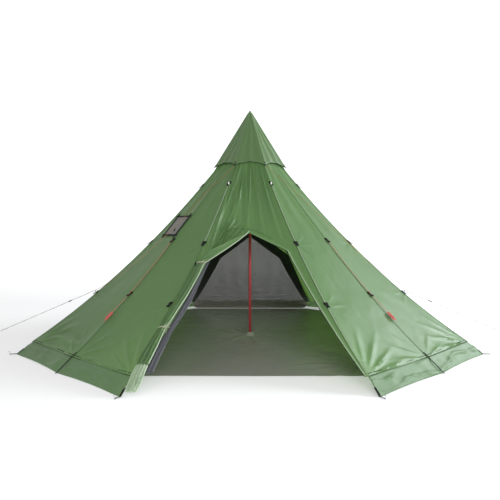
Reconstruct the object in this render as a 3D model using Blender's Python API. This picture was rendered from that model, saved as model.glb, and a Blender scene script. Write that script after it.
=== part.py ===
"""Eight-sided teepee tent on one centre pole, pitched with its front door open.

Metres, +Z up. The origin is the centre of the octagon on the ground, and the door faces -Y.
Every fabric panel is a thin closed shell that follows one ridge profile, ridge_height().
"""

import math

import bmesh
import bpy
from mathutils import Vector

# Overall size
SIDES = 8
HALF_SIDE_ANGLE = math.pi / SIDES
FLY_TOP_R = 0.070
KINK_R = 0.415
KINK_Z = 1.806
HEM_R = 2.237
HEM_Z = 0.107
SKIRT_R = 2.372
UPPER_SLOPE = 1.62
LOWER_SLOPE = 1.21
LOWER_CURVE = 0.153

# Fabric
FABRIC = 0.004
SEAM_GAP = 0.0006
PANEL_GAP = 0.001
SEAM_PUSH = 0.055
SIDE_SAG = 0.012
FLY_ROWS = (FLY_TOP_R, 0.22, KINK_R, 0.62, 0.86, 1.10, 1.36, 1.62, 1.90, HEM_R)

# Rain cap
CAP_TOP_Z = 2.500
CAP_R = 0.415
CAP_Z = 1.843
CAP_ARCH = 0.060
CAP_RINGS = (0.30, 0.65, 1.0)
CAP_SIDE_STEPS = 4

# Doors, as radii along the profile and half widths
FRONT_APEX_R = 1.010
FRONT_EAVE_R = 1.170
FRONT_EAVE_HALF = 0.338
REAR_APEX_R = 1.050
REAR_EAVE_R = 1.370
REAR_EAVE_HALF = 0.404
DOOR_FOOT_HALF = 0.830
SCREEN_GAP = 0.0015

# Stove jack: radii along the profile, and sides across the face. It lies outside the fly
JACK_TOP_R = 0.862
JACK_BOTTOM_R = 1.030
JACK_LEFT = -0.258
JACK_RIGHT = -0.014
JACK_BAND = 0.020
JACK_DEPTH = -0.0075

# Pole
LOWER_OUTER = 0.0150
LOWER_INNER = 0.0133
UPPER_OUTER = 0.0128
UPPER_INNER = 0.0112
LOWER_FOOT_Z = 0.0100
LOWER_TOP_Z = 1.300
UPPER_FOOT_Z = 1.080
UPPER_TOP_Z = 2.400
LEVER_PIN_X = 0.029
ROUND_STEPS = 20

# Ground
SHEET_THICK = 0.003
SHEET_APOTHEM = 1.990
SHEET_FRONT_Y = -1.660
REST_GAP = 0.0003

# Ridge points that carry tabs and cords
UPPER_TAB_R = 0.560
LOWER_TAB_R = 1.650
SEAM_MIDDLE_TAB_R = 1.085
SEAM_LOWER_TAB_R = 1.605
HANK_R = 1.830
CORNER_PEG_R = 2.430
GUY_PEG_R = 3.050
PEG_RADIUS = 0.003
CORD_RADIUS = 0.0015
TAB_RADIUS = 0.0025
TAB_LOOP = 0.014
TENSIONER_AT = 0.17

# The open door. Each row: radius, side position, half width, half thickness.
BUNDLE_LIFT = 0.008
UPPER_TIE_R = 1.300
LOWER_TIE_R = 1.860
TIE_HALF = 0.007
TIE_BAND = 0.0015
TIE_SLACK = 0.0022
DOOR_FLAP = (
    (1.030, -0.035, 0.050, 0.006),
    (1.100, -0.155, 0.075, 0.010),
    (1.170, -0.280, 0.090, 0.014),
    (1.245, -0.385, 0.060, 0.018),
    (1.290, -0.432, 0.032, 0.018),
    (1.310, -0.441, 0.032, 0.018),
    (1.380, -0.472, 0.040, 0.022),
    (1.580, -0.560, 0.045, 0.026),
    (1.800, -0.665, 0.036, 0.022),
    (1.850, -0.686, 0.028, 0.018),
    (1.870, -0.694, 0.028, 0.018),
    (1.930, -0.716, 0.036, 0.022),
    (2.060, -0.757, 0.046, 0.026),
    (2.160, -0.785, 0.046, 0.026),
)
SKIRT_GATHER = (
    (2.170, -0.790, 0.045, 0.022),
    (2.240, -0.808, 0.050, 0.020),
    (2.300, -0.822, 0.050, 0.016),
    (2.350, -0.838, 0.040, 0.012),
)
DOOR_MESH = (
    (1.230, -0.370, 0.020, 0.008),
    (1.340, -0.425, 0.028, 0.012),
    (1.600, -0.525, 0.036, 0.016),
    (1.860, -0.640, 0.024, 0.010),
    (2.050, -0.715, 0.040, 0.016),
    (2.190, -0.755, 0.044, 0.016),
)

FACES = {
    "front": -90,
    "front_right": -45,
    "right": 0,
    "rear_right": 45,
    "rear": 90,
    "rear_left": 135,
    "left": 180,
    "front_left": 225,
}

# Rear door roll: radius on the face and the roll's own radius, and its place beside the door's edge
REAR_ROLL = ((1.400, 0.020), (1.460, 0.034), (1.800, 0.038), (2.120, 0.036), (2.180, 0.022))
REAR_ROLL_OUTSET = 0.012
REAR_ROLL_LIFT = 0.004

# Pole fittings: outlines are (radius, height)
TIP_OUTLINE = ((0, 0), (UPPER_OUTER, 0), (UPPER_OUTER, 0.012), (0.0060, 0.040), (0.0040, 0.047), (0, 0.0487))
FOOT_SOLE = 0.0170
FOOT_OUTER = 0.0190
FOOT_BORE = 0.0153
FOOT_BEVEL_Z = 0.0060
FOOT_TOP_Z = 0.0360
BASE_CUP_BORE = 0.0195
BASE_CUP_OUTER = 0.0500
BASE_CUP_EDGE = (0.0470, 0.0090)
BASE_CUP_NECK = (0.0240, 0.0300)
APEX_CUP = ((0, 2.478), (0.010, 2.470), (0.0575, 2.3865), (0.0535, 2.3865), (0.0145, 2.4495), (0, 2.4495))

# Pole lock
COLLAR_LOW_Z = 1.262
COLLAR_HIGH_Z = 1.318
COLLAR_OUTER = 0.0205
COLLAR_BORE = 0.0153
COLLAR_UPPER_BORE = 0.0131
LUGS = (("lug_low", 1.2680), ("lug_high", 1.2980))
LUG_START_X = 0.0190
LUG_END_X = 0.0340
LUG_HALF_WIDTH = 0.0050
LUG_HEIGHT = 0.0060
PIN_RADIUS = 0.0025
PIN_LOW_Z = 1.2700
PIN_HIGH_Z = 1.3020
PIN_STEPS = 12
EYE_OUTER = 0.0050
EYE_BORE = 0.0029
EYE_LOW_Z = 1.2745
EYE_HIGH_Z = 1.2975
EYE_STEPS = 16
ARM_INNER = 0.0226
ARM_THICK = 0.0034
ARM_TAPER = 0.0012
ARM_LOW_Z = 1.2765
ARM_HIGH_Z = 1.2955
ARM_START_DEGREES = 6
ARM_SWEEP_DEGREES = 149
ARM_STEPS = 12

# Zip sliders, parked near the foot of a door's edge
SLIDER_LOW_R = 2.130
SLIDER_HIGH_R = 2.110
SLIDER_LIFT = 0.004
SLIDER_LENGTH = 0.014
SLIDER_HALF = 0.0050
SLIDER_HEIGHT = 0.0050
PULL_START = -0.028
PULL_END = 0.004
PULL_HALF = 0.0028
PULL_LOW = 0.0042
PULL_HIGH = 0.0062
FRONT_SLIDER_INSET = 0.009
REAR_SLIDER_INSET = 0.002

# Pegs, guylines and their tabs
SIDE_RIDGES = (("right", -22.5), ("left", 202.5))
PEG_SHANK = 0.024
PEG_HOOK_R = 0.009
PEG_HOOK_TURN = math.pi * 0.85
PEG_HOOK_STEPS = 6
GUY_START_LIFT = TAB_LOOP * 1.9
GUY_START_OUT = 0.012
GUY_END_Z = 0.012
GUY_POINTS = 48
TENSIONER_HALF_LENGTH = 0.017
TENSIONER_HALF = (0.0065, 0.0040)
TENSIONER_SLOT_HALF = (0.0026, 0.0022)
TAB_RING = TAB_LOOP * 0.7
TAB_STEPS = 14

# Cap cords. Each stop: radius, place across the face from the front ridge (-1) to the side ridge (1), lift
CAP_CORD_STOPS = {
    "right": ((0.520, -0.35, 0.034), (0.700, 0.20, 0.034), (1.010, 0.58, 0.036), (1.320, 0.84, 0.034)),
    "left": ((0.520, -0.40, 0.024), (0.640, 0.05, 0.020), (0.820, 0.22, 0.020), (1.060, 0.46, 0.016),
             (1.400, 0.74, 0.020)),
}
CAP_CORD_DROP = 0.010
CAP_CORD_OUT = 0.008
CAP_CORD_SHORT = 0.015
CAP_CORD_END = (0, -0.006, 0.022)
CAP_CORD_POINTS = 56
STAY_OUT = 0.010
STAY_LIFT = 0.012
STAY_POINTS = 20

# Panel cords: radius and lift on the middle seam, and the hank that their tails are folded into
PANEL_CORD_STOPS = ((SEAM_MIDDLE_TAB_R, 0.010), (1.350, 0.007), (SEAM_LOWER_TAB_R, 0.010), (1.752, 0.018))
PANEL_CORD_POINTS = 40
HANK_LIFT = 0.020
HANK_HALF_LENGTH = 0.050
HANK_HALF_WIDTH = 0.018
HANK_HALF_THICK = 0.010
HANK_END_STEPS = 6

GREEN = (0.09, 0.19, 0.07)
BLACK = (0.012, 0.013, 0.012)
POLE_RED = (0.42, 0.03, 0.04)
CUP_GREY = (0.35, 0.35, 0.32)
PATCH_GREY = (0.13, 0.13, 0.12)
TIE_PALE = (0.75, 0.78, 0.70)
GUY_PALE = (0.75, 0.78, 0.72)
STAY_PALE = (0.55, 0.60, 0.50)
CORD_ORANGE = (0.65, 0.28, 0.08)
CORD_BROWN = (0.45, 0.36, 0.25)
CORD_RED = (0.62, 0.20, 0.16)
ZIP_METAL = (0.02, 0.02, 0.02)
PEG_STEEL = (0.55, 0.55, 0.57)
MESH_GREY = (0.10, 0.10, 0.11)


def clear_scene():
    for item in list(bpy.data.objects):
        bpy.data.objects.remove(item, do_unlink=True)


def material(name, colour, roughness, metallic=0.0):
    made = bpy.data.materials.new(name)
    made.use_nodes = True
    shader = made.node_tree.nodes["Principled BSDF"]
    shader.inputs["Base Color"].default_value = (*colour, 1.0)
    shader.inputs["Roughness"].default_value = roughness
    shader.inputs["Metallic"].default_value = metallic
    return made


def add_object(name, data, look):
    data.materials.append(material(f"{name}_material", *look))
    made = bpy.data.objects.new(name, data)
    bpy.context.collection.objects.link(made)
    return made


def mesh_object(name, points, faces, look, smooth=False):
    """A closed mesh whose faces are turned outward."""
    mesh = bpy.data.meshes.new(name)
    mesh.from_pydata([tuple(p) for p in points], [], faces)
    work = bmesh.new()
    work.from_mesh(mesh)
    bmesh.ops.recalc_face_normals(work, faces=work.faces)
    work.to_mesh(mesh)
    work.free()
    if smooth:
        mesh.shade_smooth()
        mesh.set_sharp_from_angle(angle=math.radians(35))
    return add_object(name, mesh, look)


# ---------------------------------------------------------------- tent surface


def ridge_height(r):
    """Height of a ridge at distance r from the pole: a cone, then a curve, then the skirt."""
    if r < KINK_R:
        return KINK_Z + UPPER_SLOPE * (KINK_R - r)
    if r <= HEM_R:
        run = r - KINK_R
        return KINK_Z - LOWER_SLOPE * run + LOWER_CURVE * run * run
    return HEM_Z * (SKIRT_R - r) / (SKIRT_R - HEM_R)


def is_diagonal(face):
    return "_" in face


def outward_push(face, r, across):
    """Diagonal faces are pulled out at their middle seam, and the others sag in a little."""
    rise = min(1.0, max(0.0, (r - KINK_R) / 0.6))
    if is_diagonal(face):
        fall = 1.0 - 0.9 * max(0.0, min(r, HEM_R) - 1.7)
        return SEAM_PUSH * rise * fall * (1.0 - abs(across))
    return -SIDE_SAG * rise * (1.0 - across * across)


def face_directions(face):
    angle = math.radians(FACES[face])
    outward = Vector((math.cos(angle), math.sin(angle), 0.0))
    sideways = Vector((-math.sin(angle), math.cos(angle), 0.0))
    return outward, sideways


def surface_normal(face, r):
    step = 0.01
    drop = (ridge_height(r - step) - ridge_height(r + step)) / (2 * step * math.cos(HALF_SIDE_ANGLE))
    outward, _ = face_directions(face)
    return (outward * drop + Vector((0, 0, 1))).normalized()


def half_width(r):
    return r * math.sin(HALF_SIDE_ANGLE) - SEAM_GAP


def face_point(face, r, across, depth=0.0, lift=0.0):
    """A point of one face: across runs from -1 to 1, depth goes inward, lift along the normal."""
    outward, sideways = face_directions(face)
    reach = (r - depth) * math.cos(HALF_SIDE_ANGLE) + outward_push(face, r, across)
    point = outward * reach + sideways * (across * half_width(r - depth))
    point.z = ridge_height(r)
    if lift:
        point += surface_normal(face, r) * lift
    return point


def ridge_point(corner_angle, r, lift=0.0):
    angle = math.radians(corner_angle)
    return Vector((r * math.cos(angle), r * math.sin(angle), ridge_height(r) + lift))


def door_half(r, apex_r, eave_r, eave_half):
    """Half width of a five-sided door opening at radius r."""
    if r <= apex_r:
        return 0.0
    if r <= eave_r:
        return eave_half * (r - apex_r) / (eave_r - apex_r)
    return eave_half + (DOOR_FOOT_HALF - eave_half) * (r - eave_r) / (HEM_R - eave_r)


def face_shell(name, face, rows, strips, look, depth=0.0):
    """A closed shell on one face. strips(r) gives its strips across, each (start, end, steps)."""
    index = {}
    outer = []
    inner = []
    quads = []

    def vertex(r, across):
        key = (round(r, 6), round(across, 6))
        if key not in index:
            index[key] = len(outer)
            outer.append(face_point(face, r, across, depth))
            inner.append(face_point(face, r, across, depth + FABRIC))
        return index[key]

    for upper, lower in zip(rows, rows[1:]):
        for (a0, a1, steps), (b0, b1, _) in zip(strips(upper), strips(lower)):
            for i in range(steps):
                corners = (
                    vertex(upper, a0 + (a1 - a0) * i / steps),
                    vertex(upper, a0 + (a1 - a0) * (i + 1) / steps),
                    vertex(lower, b0 + (b1 - b0) * (i + 1) / steps),
                    vertex(lower, b0 + (b1 - b0) * i / steps),
                )
                quads.append(tuple(dict.fromkeys(corners)))
    return closed_shell(name, outer, inner, quads, look)


def closed_shell(name, outer, inner, quads, look):
    """Joins an outer and an inner sheet with walls along their free edges."""
    count = len(outer)
    faces = []
    edge_uses = {}
    for quad in quads:
        faces.append(quad)
        faces.append(tuple(reversed([count + i for i in quad])))
        for a, b in zip(quad, quad[1:] + quad[:1]):
            edge_uses.setdefault(frozenset((a, b)), []).append((a, b))
    for uses in edge_uses.values():
        if len(uses) == 1:
            a, b = uses[0]
            faces.append((b, a, count + a, count + b))
    return mesh_object(name, outer + inner, faces, look)


def full_width(steps):
    return lambda r: [(-1.0, 1.0, steps)]


def around_door(apex_r, eave_r, eave_half, steps):
    def strips(r):
        edge = door_half(r, apex_r, eave_r, eave_half) / half_width(r)
        return [(-1.0, -edge, steps), (edge, 1.0, steps)]

    return strips


def inside_door(apex_r, eave_r, eave_half, steps):
    def strips(r):
        edge = max(0.0, door_half(r, apex_r, eave_r, eave_half) - SCREEN_GAP) / half_width(r)
        return [(-edge, edge, steps)]

    return strips


# ---------------------------------------------------------------- solids


def turned(name, profile, look, steps=ROUND_STEPS, centre=(0.0, 0.0)):
    """A profile of (radius, height) points turned round a vertical axis. A ring if no radius is 0."""
    points = []
    faces = []
    rings = []
    for radius, height in profile:
        if radius == 0.0:
            rings.append([len(points)])
            points.append((centre[0], centre[1], height))
            continue
        rings.append(list(range(len(points), len(points) + steps)))
        for i in range(steps):
            angle = 2 * math.pi * i / steps
            x = centre[0] + radius * math.cos(angle)
            y = centre[1] + radius * math.sin(angle)
            points.append((x, y, height))
    closed = all(len(ring) > 1 for ring in rings)
    pairs = list(zip(rings, rings[1:]))
    if closed:
        pairs.append((rings[-1], rings[0]))
    for first, second in pairs:
        for i in range(steps):
            j = (i + 1) % steps
            corners = (first[i % len(first)], first[j % len(first)],
                       second[j % len(second)], second[i % len(second)])
            faces.append(tuple(dict.fromkeys(corners)))
    return mesh_object(name, points, [f for f in faces if len(f) > 2], look, smooth=True)


def loft(name, rings, look, smooth=True):
    """A closed body through rings of equal length, with flat ends."""
    size = len(rings[0])
    points = [p for ring in rings for p in ring]
    faces = [tuple(range(size)), tuple(range(len(points) - size, len(points)))]
    for k in range(len(rings) - 1):
        for i in range(size):
            j = (i + 1) % size
            faces.append((k * size + i, k * size + j, (k + 1) * size + j, (k + 1) * size + i))
    return mesh_object(name, points, faces, look, smooth)


def bundle_ring(face, r, side, half, thick, lift, steps=10):
    """An oval across the face at radius r, centred at distance side from the face's middle line."""
    _, sideways = face_directions(face)
    normal = surface_normal(face, r)
    centre = face_point(face, r, side / half_width(r)) + normal * (lift + thick)
    ring = []
    for i in range(steps):
        angle = 2 * math.pi * i / steps
        ring.append(centre + sideways * (half * math.cos(angle)) + normal * (thick * math.sin(angle)))
    return ring


def box(name, low, high, look):
    x0, y0, z0 = low
    x1, y1, z1 = high
    points = [(x, y, z) for x in (x0, x1) for y in (y0, y1) for z in (z0, z1)]
    faces = [(0, 1, 3, 2), (4, 6, 7, 5), (0, 4, 5, 1), (2, 3, 7, 6), (0, 2, 6, 4), (1, 5, 7, 3)]
    return mesh_object(name, points, faces, look)


def join_solids(target, others):
    """Unites the other solids with the target and removes them."""
    for other in others:
        modifier = target.modifiers.new("union", "BOOLEAN")
        modifier.operation = "UNION"
        modifier.object = other
    bpy.context.view_layer.update()
    graph = bpy.context.evaluated_depsgraph_get()
    result = bpy.data.meshes.new_from_object(target.evaluated_get(graph))
    target.modifiers.clear()
    old = target.data
    target.data = result
    bpy.data.meshes.remove(old)
    for other in others:
        bpy.data.objects.remove(other, do_unlink=True)
    return target


def move_origin(item, point):
    """Puts the object's origin at a world point and leaves its shape where it is."""
    point = Vector(point)
    item.data.transform(item.matrix_world.inverted())
    offset = point - item.location
    for vertex in item.data.vertices:
        vertex.co -= offset
    item.location = point


def smooth_route(points, count):
    """Even points along a smooth curve through the given ones."""
    padded = [points[0] * 2 - points[1]] + points + [points[-1] * 2 - points[-2]]
    fine = []
    for p0, p1, p2, p3 in zip(padded, padded[1:], padded[2:], padded[3:]):
        for i in range(24):
            t = i / 24
            fine.append(
                0.5 * (2 * p1 + (p2 - p0) * t + (2 * p0 - 5 * p1 + 4 * p2 - p3) * t ** 2
                       + (3 * p1 - p0 - 3 * p2 + p3) * t ** 3)
            )
    fine.append(points[-1])
    lengths = [0.0]
    for a, b in zip(fine, fine[1:]):
        lengths.append(lengths[-1] + (b - a).length)
    route = []
    k = 0
    for i in range(count):
        wanted = lengths[-1] * i / (count - 1)
        while k < len(fine) - 2 and lengths[k + 1] < wanted:
            k += 1
        part = (wanted - lengths[k]) / max(1e-9, lengths[k + 1] - lengths[k])
        route.append(fine[k].lerp(fine[k + 1], min(1.0, part)))
    return route


def tube(name, points, radius, look, cyclic=False):
    """A round cord or rod along the points, with filled ends."""
    curve = bpy.data.curves.new(name, "CURVE")
    curve.dimensions = "3D"
    curve.bevel_depth = radius
    curve.bevel_resolution = 2
    curve.use_fill_caps = True
    spline = curve.splines.new("POLY")
    spline.points.add(len(points) - 1)
    for target, point in zip(spline.points, points):
        target.co = (*point, 1.0)
    spline.use_cyclic_u = cyclic
    return add_object(name, curve, look)


# ---------------------------------------------------------------- fabric pieces


def add_fly():
    look = (GREEN, 0.45)
    for face in FACES:
        if face in ("front", "rear"):
            continue
        face_shell(f"fly_{face}", face, FLY_ROWS, full_width(4), look)
    front_rows = (FLY_TOP_R, 0.22, KINK_R, 0.70, FRONT_APEX_R, FRONT_EAVE_R, 1.40, 1.68, 1.95, HEM_R)
    rear_rows = (FLY_TOP_R, 0.22, KINK_R, 0.72, REAR_APEX_R, REAR_EAVE_R, 1.68, 1.95, HEM_R)
    face_shell("fly_front", "front", front_rows,
               around_door(FRONT_APEX_R, FRONT_EAVE_R, FRONT_EAVE_HALF, 2), look)
    face_shell("fly_rear", "rear", rear_rows,
               around_door(REAR_APEX_R, REAR_EAVE_R, REAR_EAVE_HALF, 2), look)


def add_rear_screen():
    rows = (REAR_APEX_R + 0.02, 1.20, REAR_EAVE_R, 1.68, 1.95, HEM_R)
    face_shell("rear_mesh_screen", "rear", rows,
               inside_door(REAR_APEX_R, REAR_EAVE_R, REAR_EAVE_HALF, 4), (MESH_GREY, 0.8))


def add_skirts():
    rows = (HEM_R + PANEL_GAP, (HEM_R + SKIRT_R) / 2, SKIRT_R)
    for face in FACES:
        if face != "front":
            face_shell(f"skirt_{face}", face, rows, full_width(4), (GREEN, 0.45))


def add_rain_cap():
    """A pointed hat with one point at each corner and an arch between them."""
    columns = SIDES * CAP_SIDE_STEPS
    height = CAP_TOP_Z - CAP_Z

    def sheet(drop):
        points = [Vector((0, 0, CAP_TOP_Z - drop))]
        for ring in CAP_RINGS:
            for k in range(columns):
                part = (k % CAP_SIDE_STEPS) / CAP_SIDE_STEPS
                arch = 1.0 - CAP_ARCH * 4 * part * (1 - part)
                side = k // CAP_SIDE_STEPS
                start = 2 * side * HALF_SIDE_ANGLE + HALF_SIDE_ANGLE
                a = Vector((math.cos(start), math.sin(start), 0))
                end = start + 2 * HALF_SIDE_ANGLE
                b = Vector((math.cos(end), math.sin(end), 0))
                point = a.lerp(b, part) * (CAP_R * ring * arch)
                point.z = CAP_TOP_Z - drop - height * ring * arch
                points.append(point)
        return points

    quads = []
    for k in range(columns):
        after = (k + 1) % columns
        quads.append((0, 1 + k, 1 + after))
        for level in range(len(CAP_RINGS) - 1):
            base = 1 + level * columns
            quads.append((base + k, base + columns + k, base + columns + after, base + after))
    closed_shell("rain_cap", sheet(0.0), sheet(0.005), quads, ((0.08, 0.15, 0.06), 0.45))


def add_groundsheet():
    slant = SHEET_APOTHEM * math.tan(HALF_SIDE_ANGLE)
    front_x = SHEET_APOTHEM * math.sqrt(2) + SHEET_FRONT_Y
    right = [(front_x, SHEET_FRONT_Y), (SHEET_APOTHEM, -slant), (SHEET_APOTHEM, slant),
             (slant, SHEET_APOTHEM)]
    outline = right + [(-x, y) for x, y in reversed(right)]
    rings = [[Vector((x, y, z)) for x, y in outline] for z in (0.0, SHEET_THICK)]
    loft("groundsheet", rings, ((0.06, 0.07, 0.05), 0.5), smooth=False)


def add_gathered_door():
    """The open door and its mesh, gathered along the left edge and held by two ties."""
    rings = [bundle_ring("front", *row, BUNDLE_LIFT) for row in DOOR_FLAP]
    loft("door_flap", rings, (GREEN, 0.45))
    rings = [bundle_ring("front", *row, BUNDLE_LIFT) for row in SKIRT_GATHER]
    loft("skirt_door_gather", rings, ((0.40, 0.58, 0.40), 0.45))
    rings = []
    for r, side, half, thick in DOOR_MESH:
        inward = -(FABRIC + BUNDLE_LIFT + 2 * thick)
        rings.append(bundle_ring("front", r, side, half, thick, inward))
    loft("door_mesh", rings, (MESH_GREY, 0.8))
    add_tie("door_tie_upper", UPPER_TIE_R)
    add_tie("door_tie_lower", LOWER_TIE_R)


def flap_section(r):
    """Side position, half width and half thickness of the gathered door at radius r."""
    for above, below in zip(DOOR_FLAP, DOOR_FLAP[1:]):
        if above[0] <= r <= below[0]:
            part = (r - above[0]) / (below[0] - above[0])
            return [a + (b - a) * part for a, b in zip(above[1:], below[1:])]
    raise ValueError("the radius is not on the gathered door")


def add_tie(name, r):
    """A flat band round the gathered door."""
    loops = []
    for growth, step in ((TIE_SLACK, -TIE_HALF), (TIE_SLACK, TIE_HALF),
                         (TIE_SLACK + TIE_BAND, TIE_HALF), (TIE_SLACK + TIE_BAND, -TIE_HALF)):
        side, half, thick = flap_section(r + step)
        loops.append(bundle_ring("front", r + step, side, half + growth, thick + growth,
                                 BUNDLE_LIFT - growth))
    size = len(loops[0])
    points = [p for loop in loops for p in loop]
    faces = []
    for k in range(4):
        after = (k + 1) % 4
        for i in range(size):
            j = (i + 1) % size
            faces.append((k * size + i, k * size + j, after * size + j, after * size + i))
    mesh_object(name, points, faces, (TIE_PALE, 0.6), smooth=True)


def add_rear_roll():
    """The rear door's outer flap, rolled up along one edge outside."""
    rings = []
    for r, radius in REAR_ROLL:
        side = door_half(r, REAR_APEX_R, REAR_EAVE_R, REAR_EAVE_HALF) + REAR_ROLL_OUTSET
        rings.append(bundle_ring("rear", r, side, radius, radius, REAR_ROLL_LIFT))
    loft("rear_door_roll", rings, (GREEN, 0.45))


def add_stove_jack():
    """A heat-proof patch beside the middle seam of the front left face, with a bound edge."""
    top, bottom = JACK_TOP_R, JACK_BOTTOM_R
    rows = [top + (bottom - top) * i / 3 for i in range(4)]

    def strips(r):
        return [((JACK_LEFT + JACK_BAND + PANEL_GAP) / half_width(r),
                 (JACK_RIGHT - JACK_BAND - PANEL_GAP) / half_width(r), 3)]

    face_shell("stove_jack_patch", "front_left", rows, strips, (PATCH_GREY, 0.7), JACK_DEPTH)
    band_r = JACK_BAND * 0.65
    rows = (top - band_r, top - PANEL_GAP, bottom + PANEL_GAP, bottom + band_r)
    sides = (JACK_LEFT, JACK_LEFT + JACK_BAND, JACK_RIGHT - JACK_BAND, JACK_RIGHT)
    outer = []
    inner = []
    quads = []
    for r in rows:
        for side in sides:
            across = side / half_width(r)
            outer.append(face_point("front_left", r, across, JACK_DEPTH))
            inner.append(face_point("front_left", r, across, JACK_DEPTH + FABRIC))
    for i in range(3):
        for j in range(3):
            if (i, j) != (1, 1):
                first = i * 4 + j
                quads.append((first, first + 1, first + 5, first + 4))
    closed_shell("stove_jack_frame", outer, inner, quads, (BLACK, 0.7))


# ---------------------------------------------------------------- pole


def add_pole():
    red = (POLE_RED, 0.3, 0.6)
    turned("pole_lower", [(LOWER_OUTER, LOWER_FOOT_Z), (LOWER_OUTER, LOWER_TOP_Z),
                          (LOWER_INNER, LOWER_TOP_Z), (LOWER_INNER, LOWER_FOOT_Z)], red)
    upper = turned("pole_upper", [(UPPER_OUTER, UPPER_FOOT_Z), (UPPER_OUTER, UPPER_TOP_Z),
                                  (UPPER_INNER, UPPER_TOP_Z), (UPPER_INNER, UPPER_FOOT_Z)], red)
    move_origin(upper, (0, 0, LOWER_TOP_Z))
    tip_z = UPPER_TOP_Z + REST_GAP
    tip = turned("pole_tip", [(radius, tip_z + z) for radius, z in TIP_OUTLINE], (BLACK, 0.5))
    move_origin(tip, (0, 0, tip_z))
    sheet_z = SHEET_THICK + REST_GAP
    turned("pole_foot", [(0, sheet_z), (FOOT_SOLE, sheet_z), (FOOT_OUTER, FOOT_BEVEL_Z),
                         (FOOT_OUTER, FOOT_TOP_Z), (FOOT_BORE, FOOT_TOP_Z),
                         (FOOT_BORE, LOWER_FOOT_Z - REST_GAP), (0, LOWER_FOOT_Z - REST_GAP)], (BLACK, 0.7))
    turned("pole_base_cup", [(BASE_CUP_BORE, sheet_z), (BASE_CUP_OUTER, sheet_z), BASE_CUP_EDGE,
                             BASE_CUP_NECK, (BASE_CUP_BORE, BASE_CUP_NECK[1])], (CUP_GREY, 0.8))
    turned("apex_cup", APEX_CUP, (BLACK, 0.7))


def add_pole_lock():
    """A flip-lever clamp that holds the upper tube in the lower one."""
    look = (BLACK, 0.45)
    step_z = LOWER_TOP_Z + REST_GAP
    collar = turned("pole_collar", [(COLLAR_BORE, COLLAR_LOW_Z), (COLLAR_OUTER, COLLAR_LOW_Z),
                                    (COLLAR_OUTER, COLLAR_HIGH_Z), (COLLAR_UPPER_BORE, COLLAR_HIGH_Z),
                                    (COLLAR_UPPER_BORE, step_z), (COLLAR_BORE, step_z)], look)
    lugs = []
    for name, z in LUGS:
        lugs.append(box(name, (LUG_START_X, -LUG_HALF_WIDTH, z),
                        (LUG_END_X, LUG_HALF_WIDTH, z + LUG_HEIGHT), look))
    lugs.append(turned("pin", [(0, PIN_LOW_Z), (PIN_RADIUS, PIN_LOW_Z), (PIN_RADIUS, PIN_HIGH_Z),
                               (0, PIN_HIGH_Z)], look, steps=PIN_STEPS, centre=(LEVER_PIN_X, 0)))
    join_solids(collar, lugs)
    eye = turned("pole_lever", [(EYE_OUTER, EYE_LOW_Z), (EYE_OUTER, EYE_HIGH_Z), (EYE_BORE, EYE_HIGH_Z),
                                (EYE_BORE, EYE_LOW_Z)], look, steps=EYE_STEPS, centre=(LEVER_PIN_X, 0))
    rings = []
    for step in range(ARM_STEPS + 1):
        part = step / ARM_STEPS
        angle = math.radians(ARM_START_DEGREES + ARM_SWEEP_DEGREES * part)
        outer = ARM_INNER + ARM_THICK - ARM_TAPER * part
        rings.append([Vector((radius * math.cos(angle), radius * math.sin(angle), z))
                      for radius, z in ((ARM_INNER, ARM_LOW_Z), (outer, ARM_LOW_Z),
                                        (outer, ARM_HIGH_Z), (ARM_INNER, ARM_HIGH_Z))])
    arm = loft("lever_arm", rings, look)
    join_solids(eye, [arm])
    move_origin(eye, (LEVER_PIN_X, 0, (EYE_LOW_Z + EYE_HIGH_Z) / 2))


# ---------------------------------------------------------------- sliders, cords and pegs


def add_zip_slider(name, face, side_sign, apex_r, eave_r, eave_half, inset):
    """A zip slider with its pull, parked near the foot of a door edge."""
    spots = []
    for r in (SLIDER_LOW_R, SLIDER_HIGH_R):
        side = side_sign * (door_half(r, apex_r, eave_r, eave_half) - inset)
        spots.append(face_point(face, r, side / half_width(r)))
    along = (spots[1] - spots[0]).normalized()
    normal = surface_normal(face, SLIDER_LOW_R)
    across = normal.cross(along).normalized()
    base = spots[0] + normal * SLIDER_LIFT

    def block(part_name, start, end, half, low, high):
        rings = []
        for distance in (start, end):
            rings.append([base + along * distance + across * (half * a) + normal * b
                          for a, b in ((-1, low), (1, low), (1, high), (-1, high))])
        return loft(part_name, rings, (ZIP_METAL, 0.35, 0.7), smooth=False)

    body = block(name, 0.0, SLIDER_LENGTH, SLIDER_HALF, 0.0, SLIDER_HEIGHT)
    pull = block(f"{name}_pull", PULL_START, PULL_END, PULL_HALF, PULL_LOW, PULL_HIGH)
    join_solids(body, [pull])
    move_origin(body, base)


def corner_angles():
    return {"front_right": -67.5, "right_front": -22.5, "right_rear": 22.5, "rear_right": 67.5,
            "rear_left": 112.5, "left_rear": 157.5, "left_front": 202.5, "front_left": 247.5}


def add_peg(name, angle_degrees, r, look):
    """The head of a driven peg: a short shank with its hook turned away from the tent."""
    angle = math.radians(angle_degrees)
    away = Vector((math.cos(angle), math.sin(angle), 0))
    up = Vector((0, 0, 1))
    foot = away * r
    points = [foot, foot + up * (PEG_SHANK / 2), foot + up * PEG_SHANK]
    centre = foot + away * PEG_HOOK_R + up * PEG_SHANK
    for step in range(1, PEG_HOOK_STEPS + 1):
        turn = PEG_HOOK_TURN * step / PEG_HOOK_STEPS
        points.append(centre - away * (PEG_HOOK_R * math.cos(turn))
                      + up * (PEG_HOOK_R * math.sin(turn)))
    tube(name, points, PEG_RADIUS, look)


def add_pegs():
    steel = (PEG_STEEL, 0.35, 0.9)
    for name, angle in corner_angles().items():
        add_peg(f"corner_peg_{name}", angle, CORNER_PEG_R, steel)
    for name, angle in SIDE_RIDGES:
        add_peg(f"guy_peg_{name}", angle, GUY_PEG_R, steel)


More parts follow.
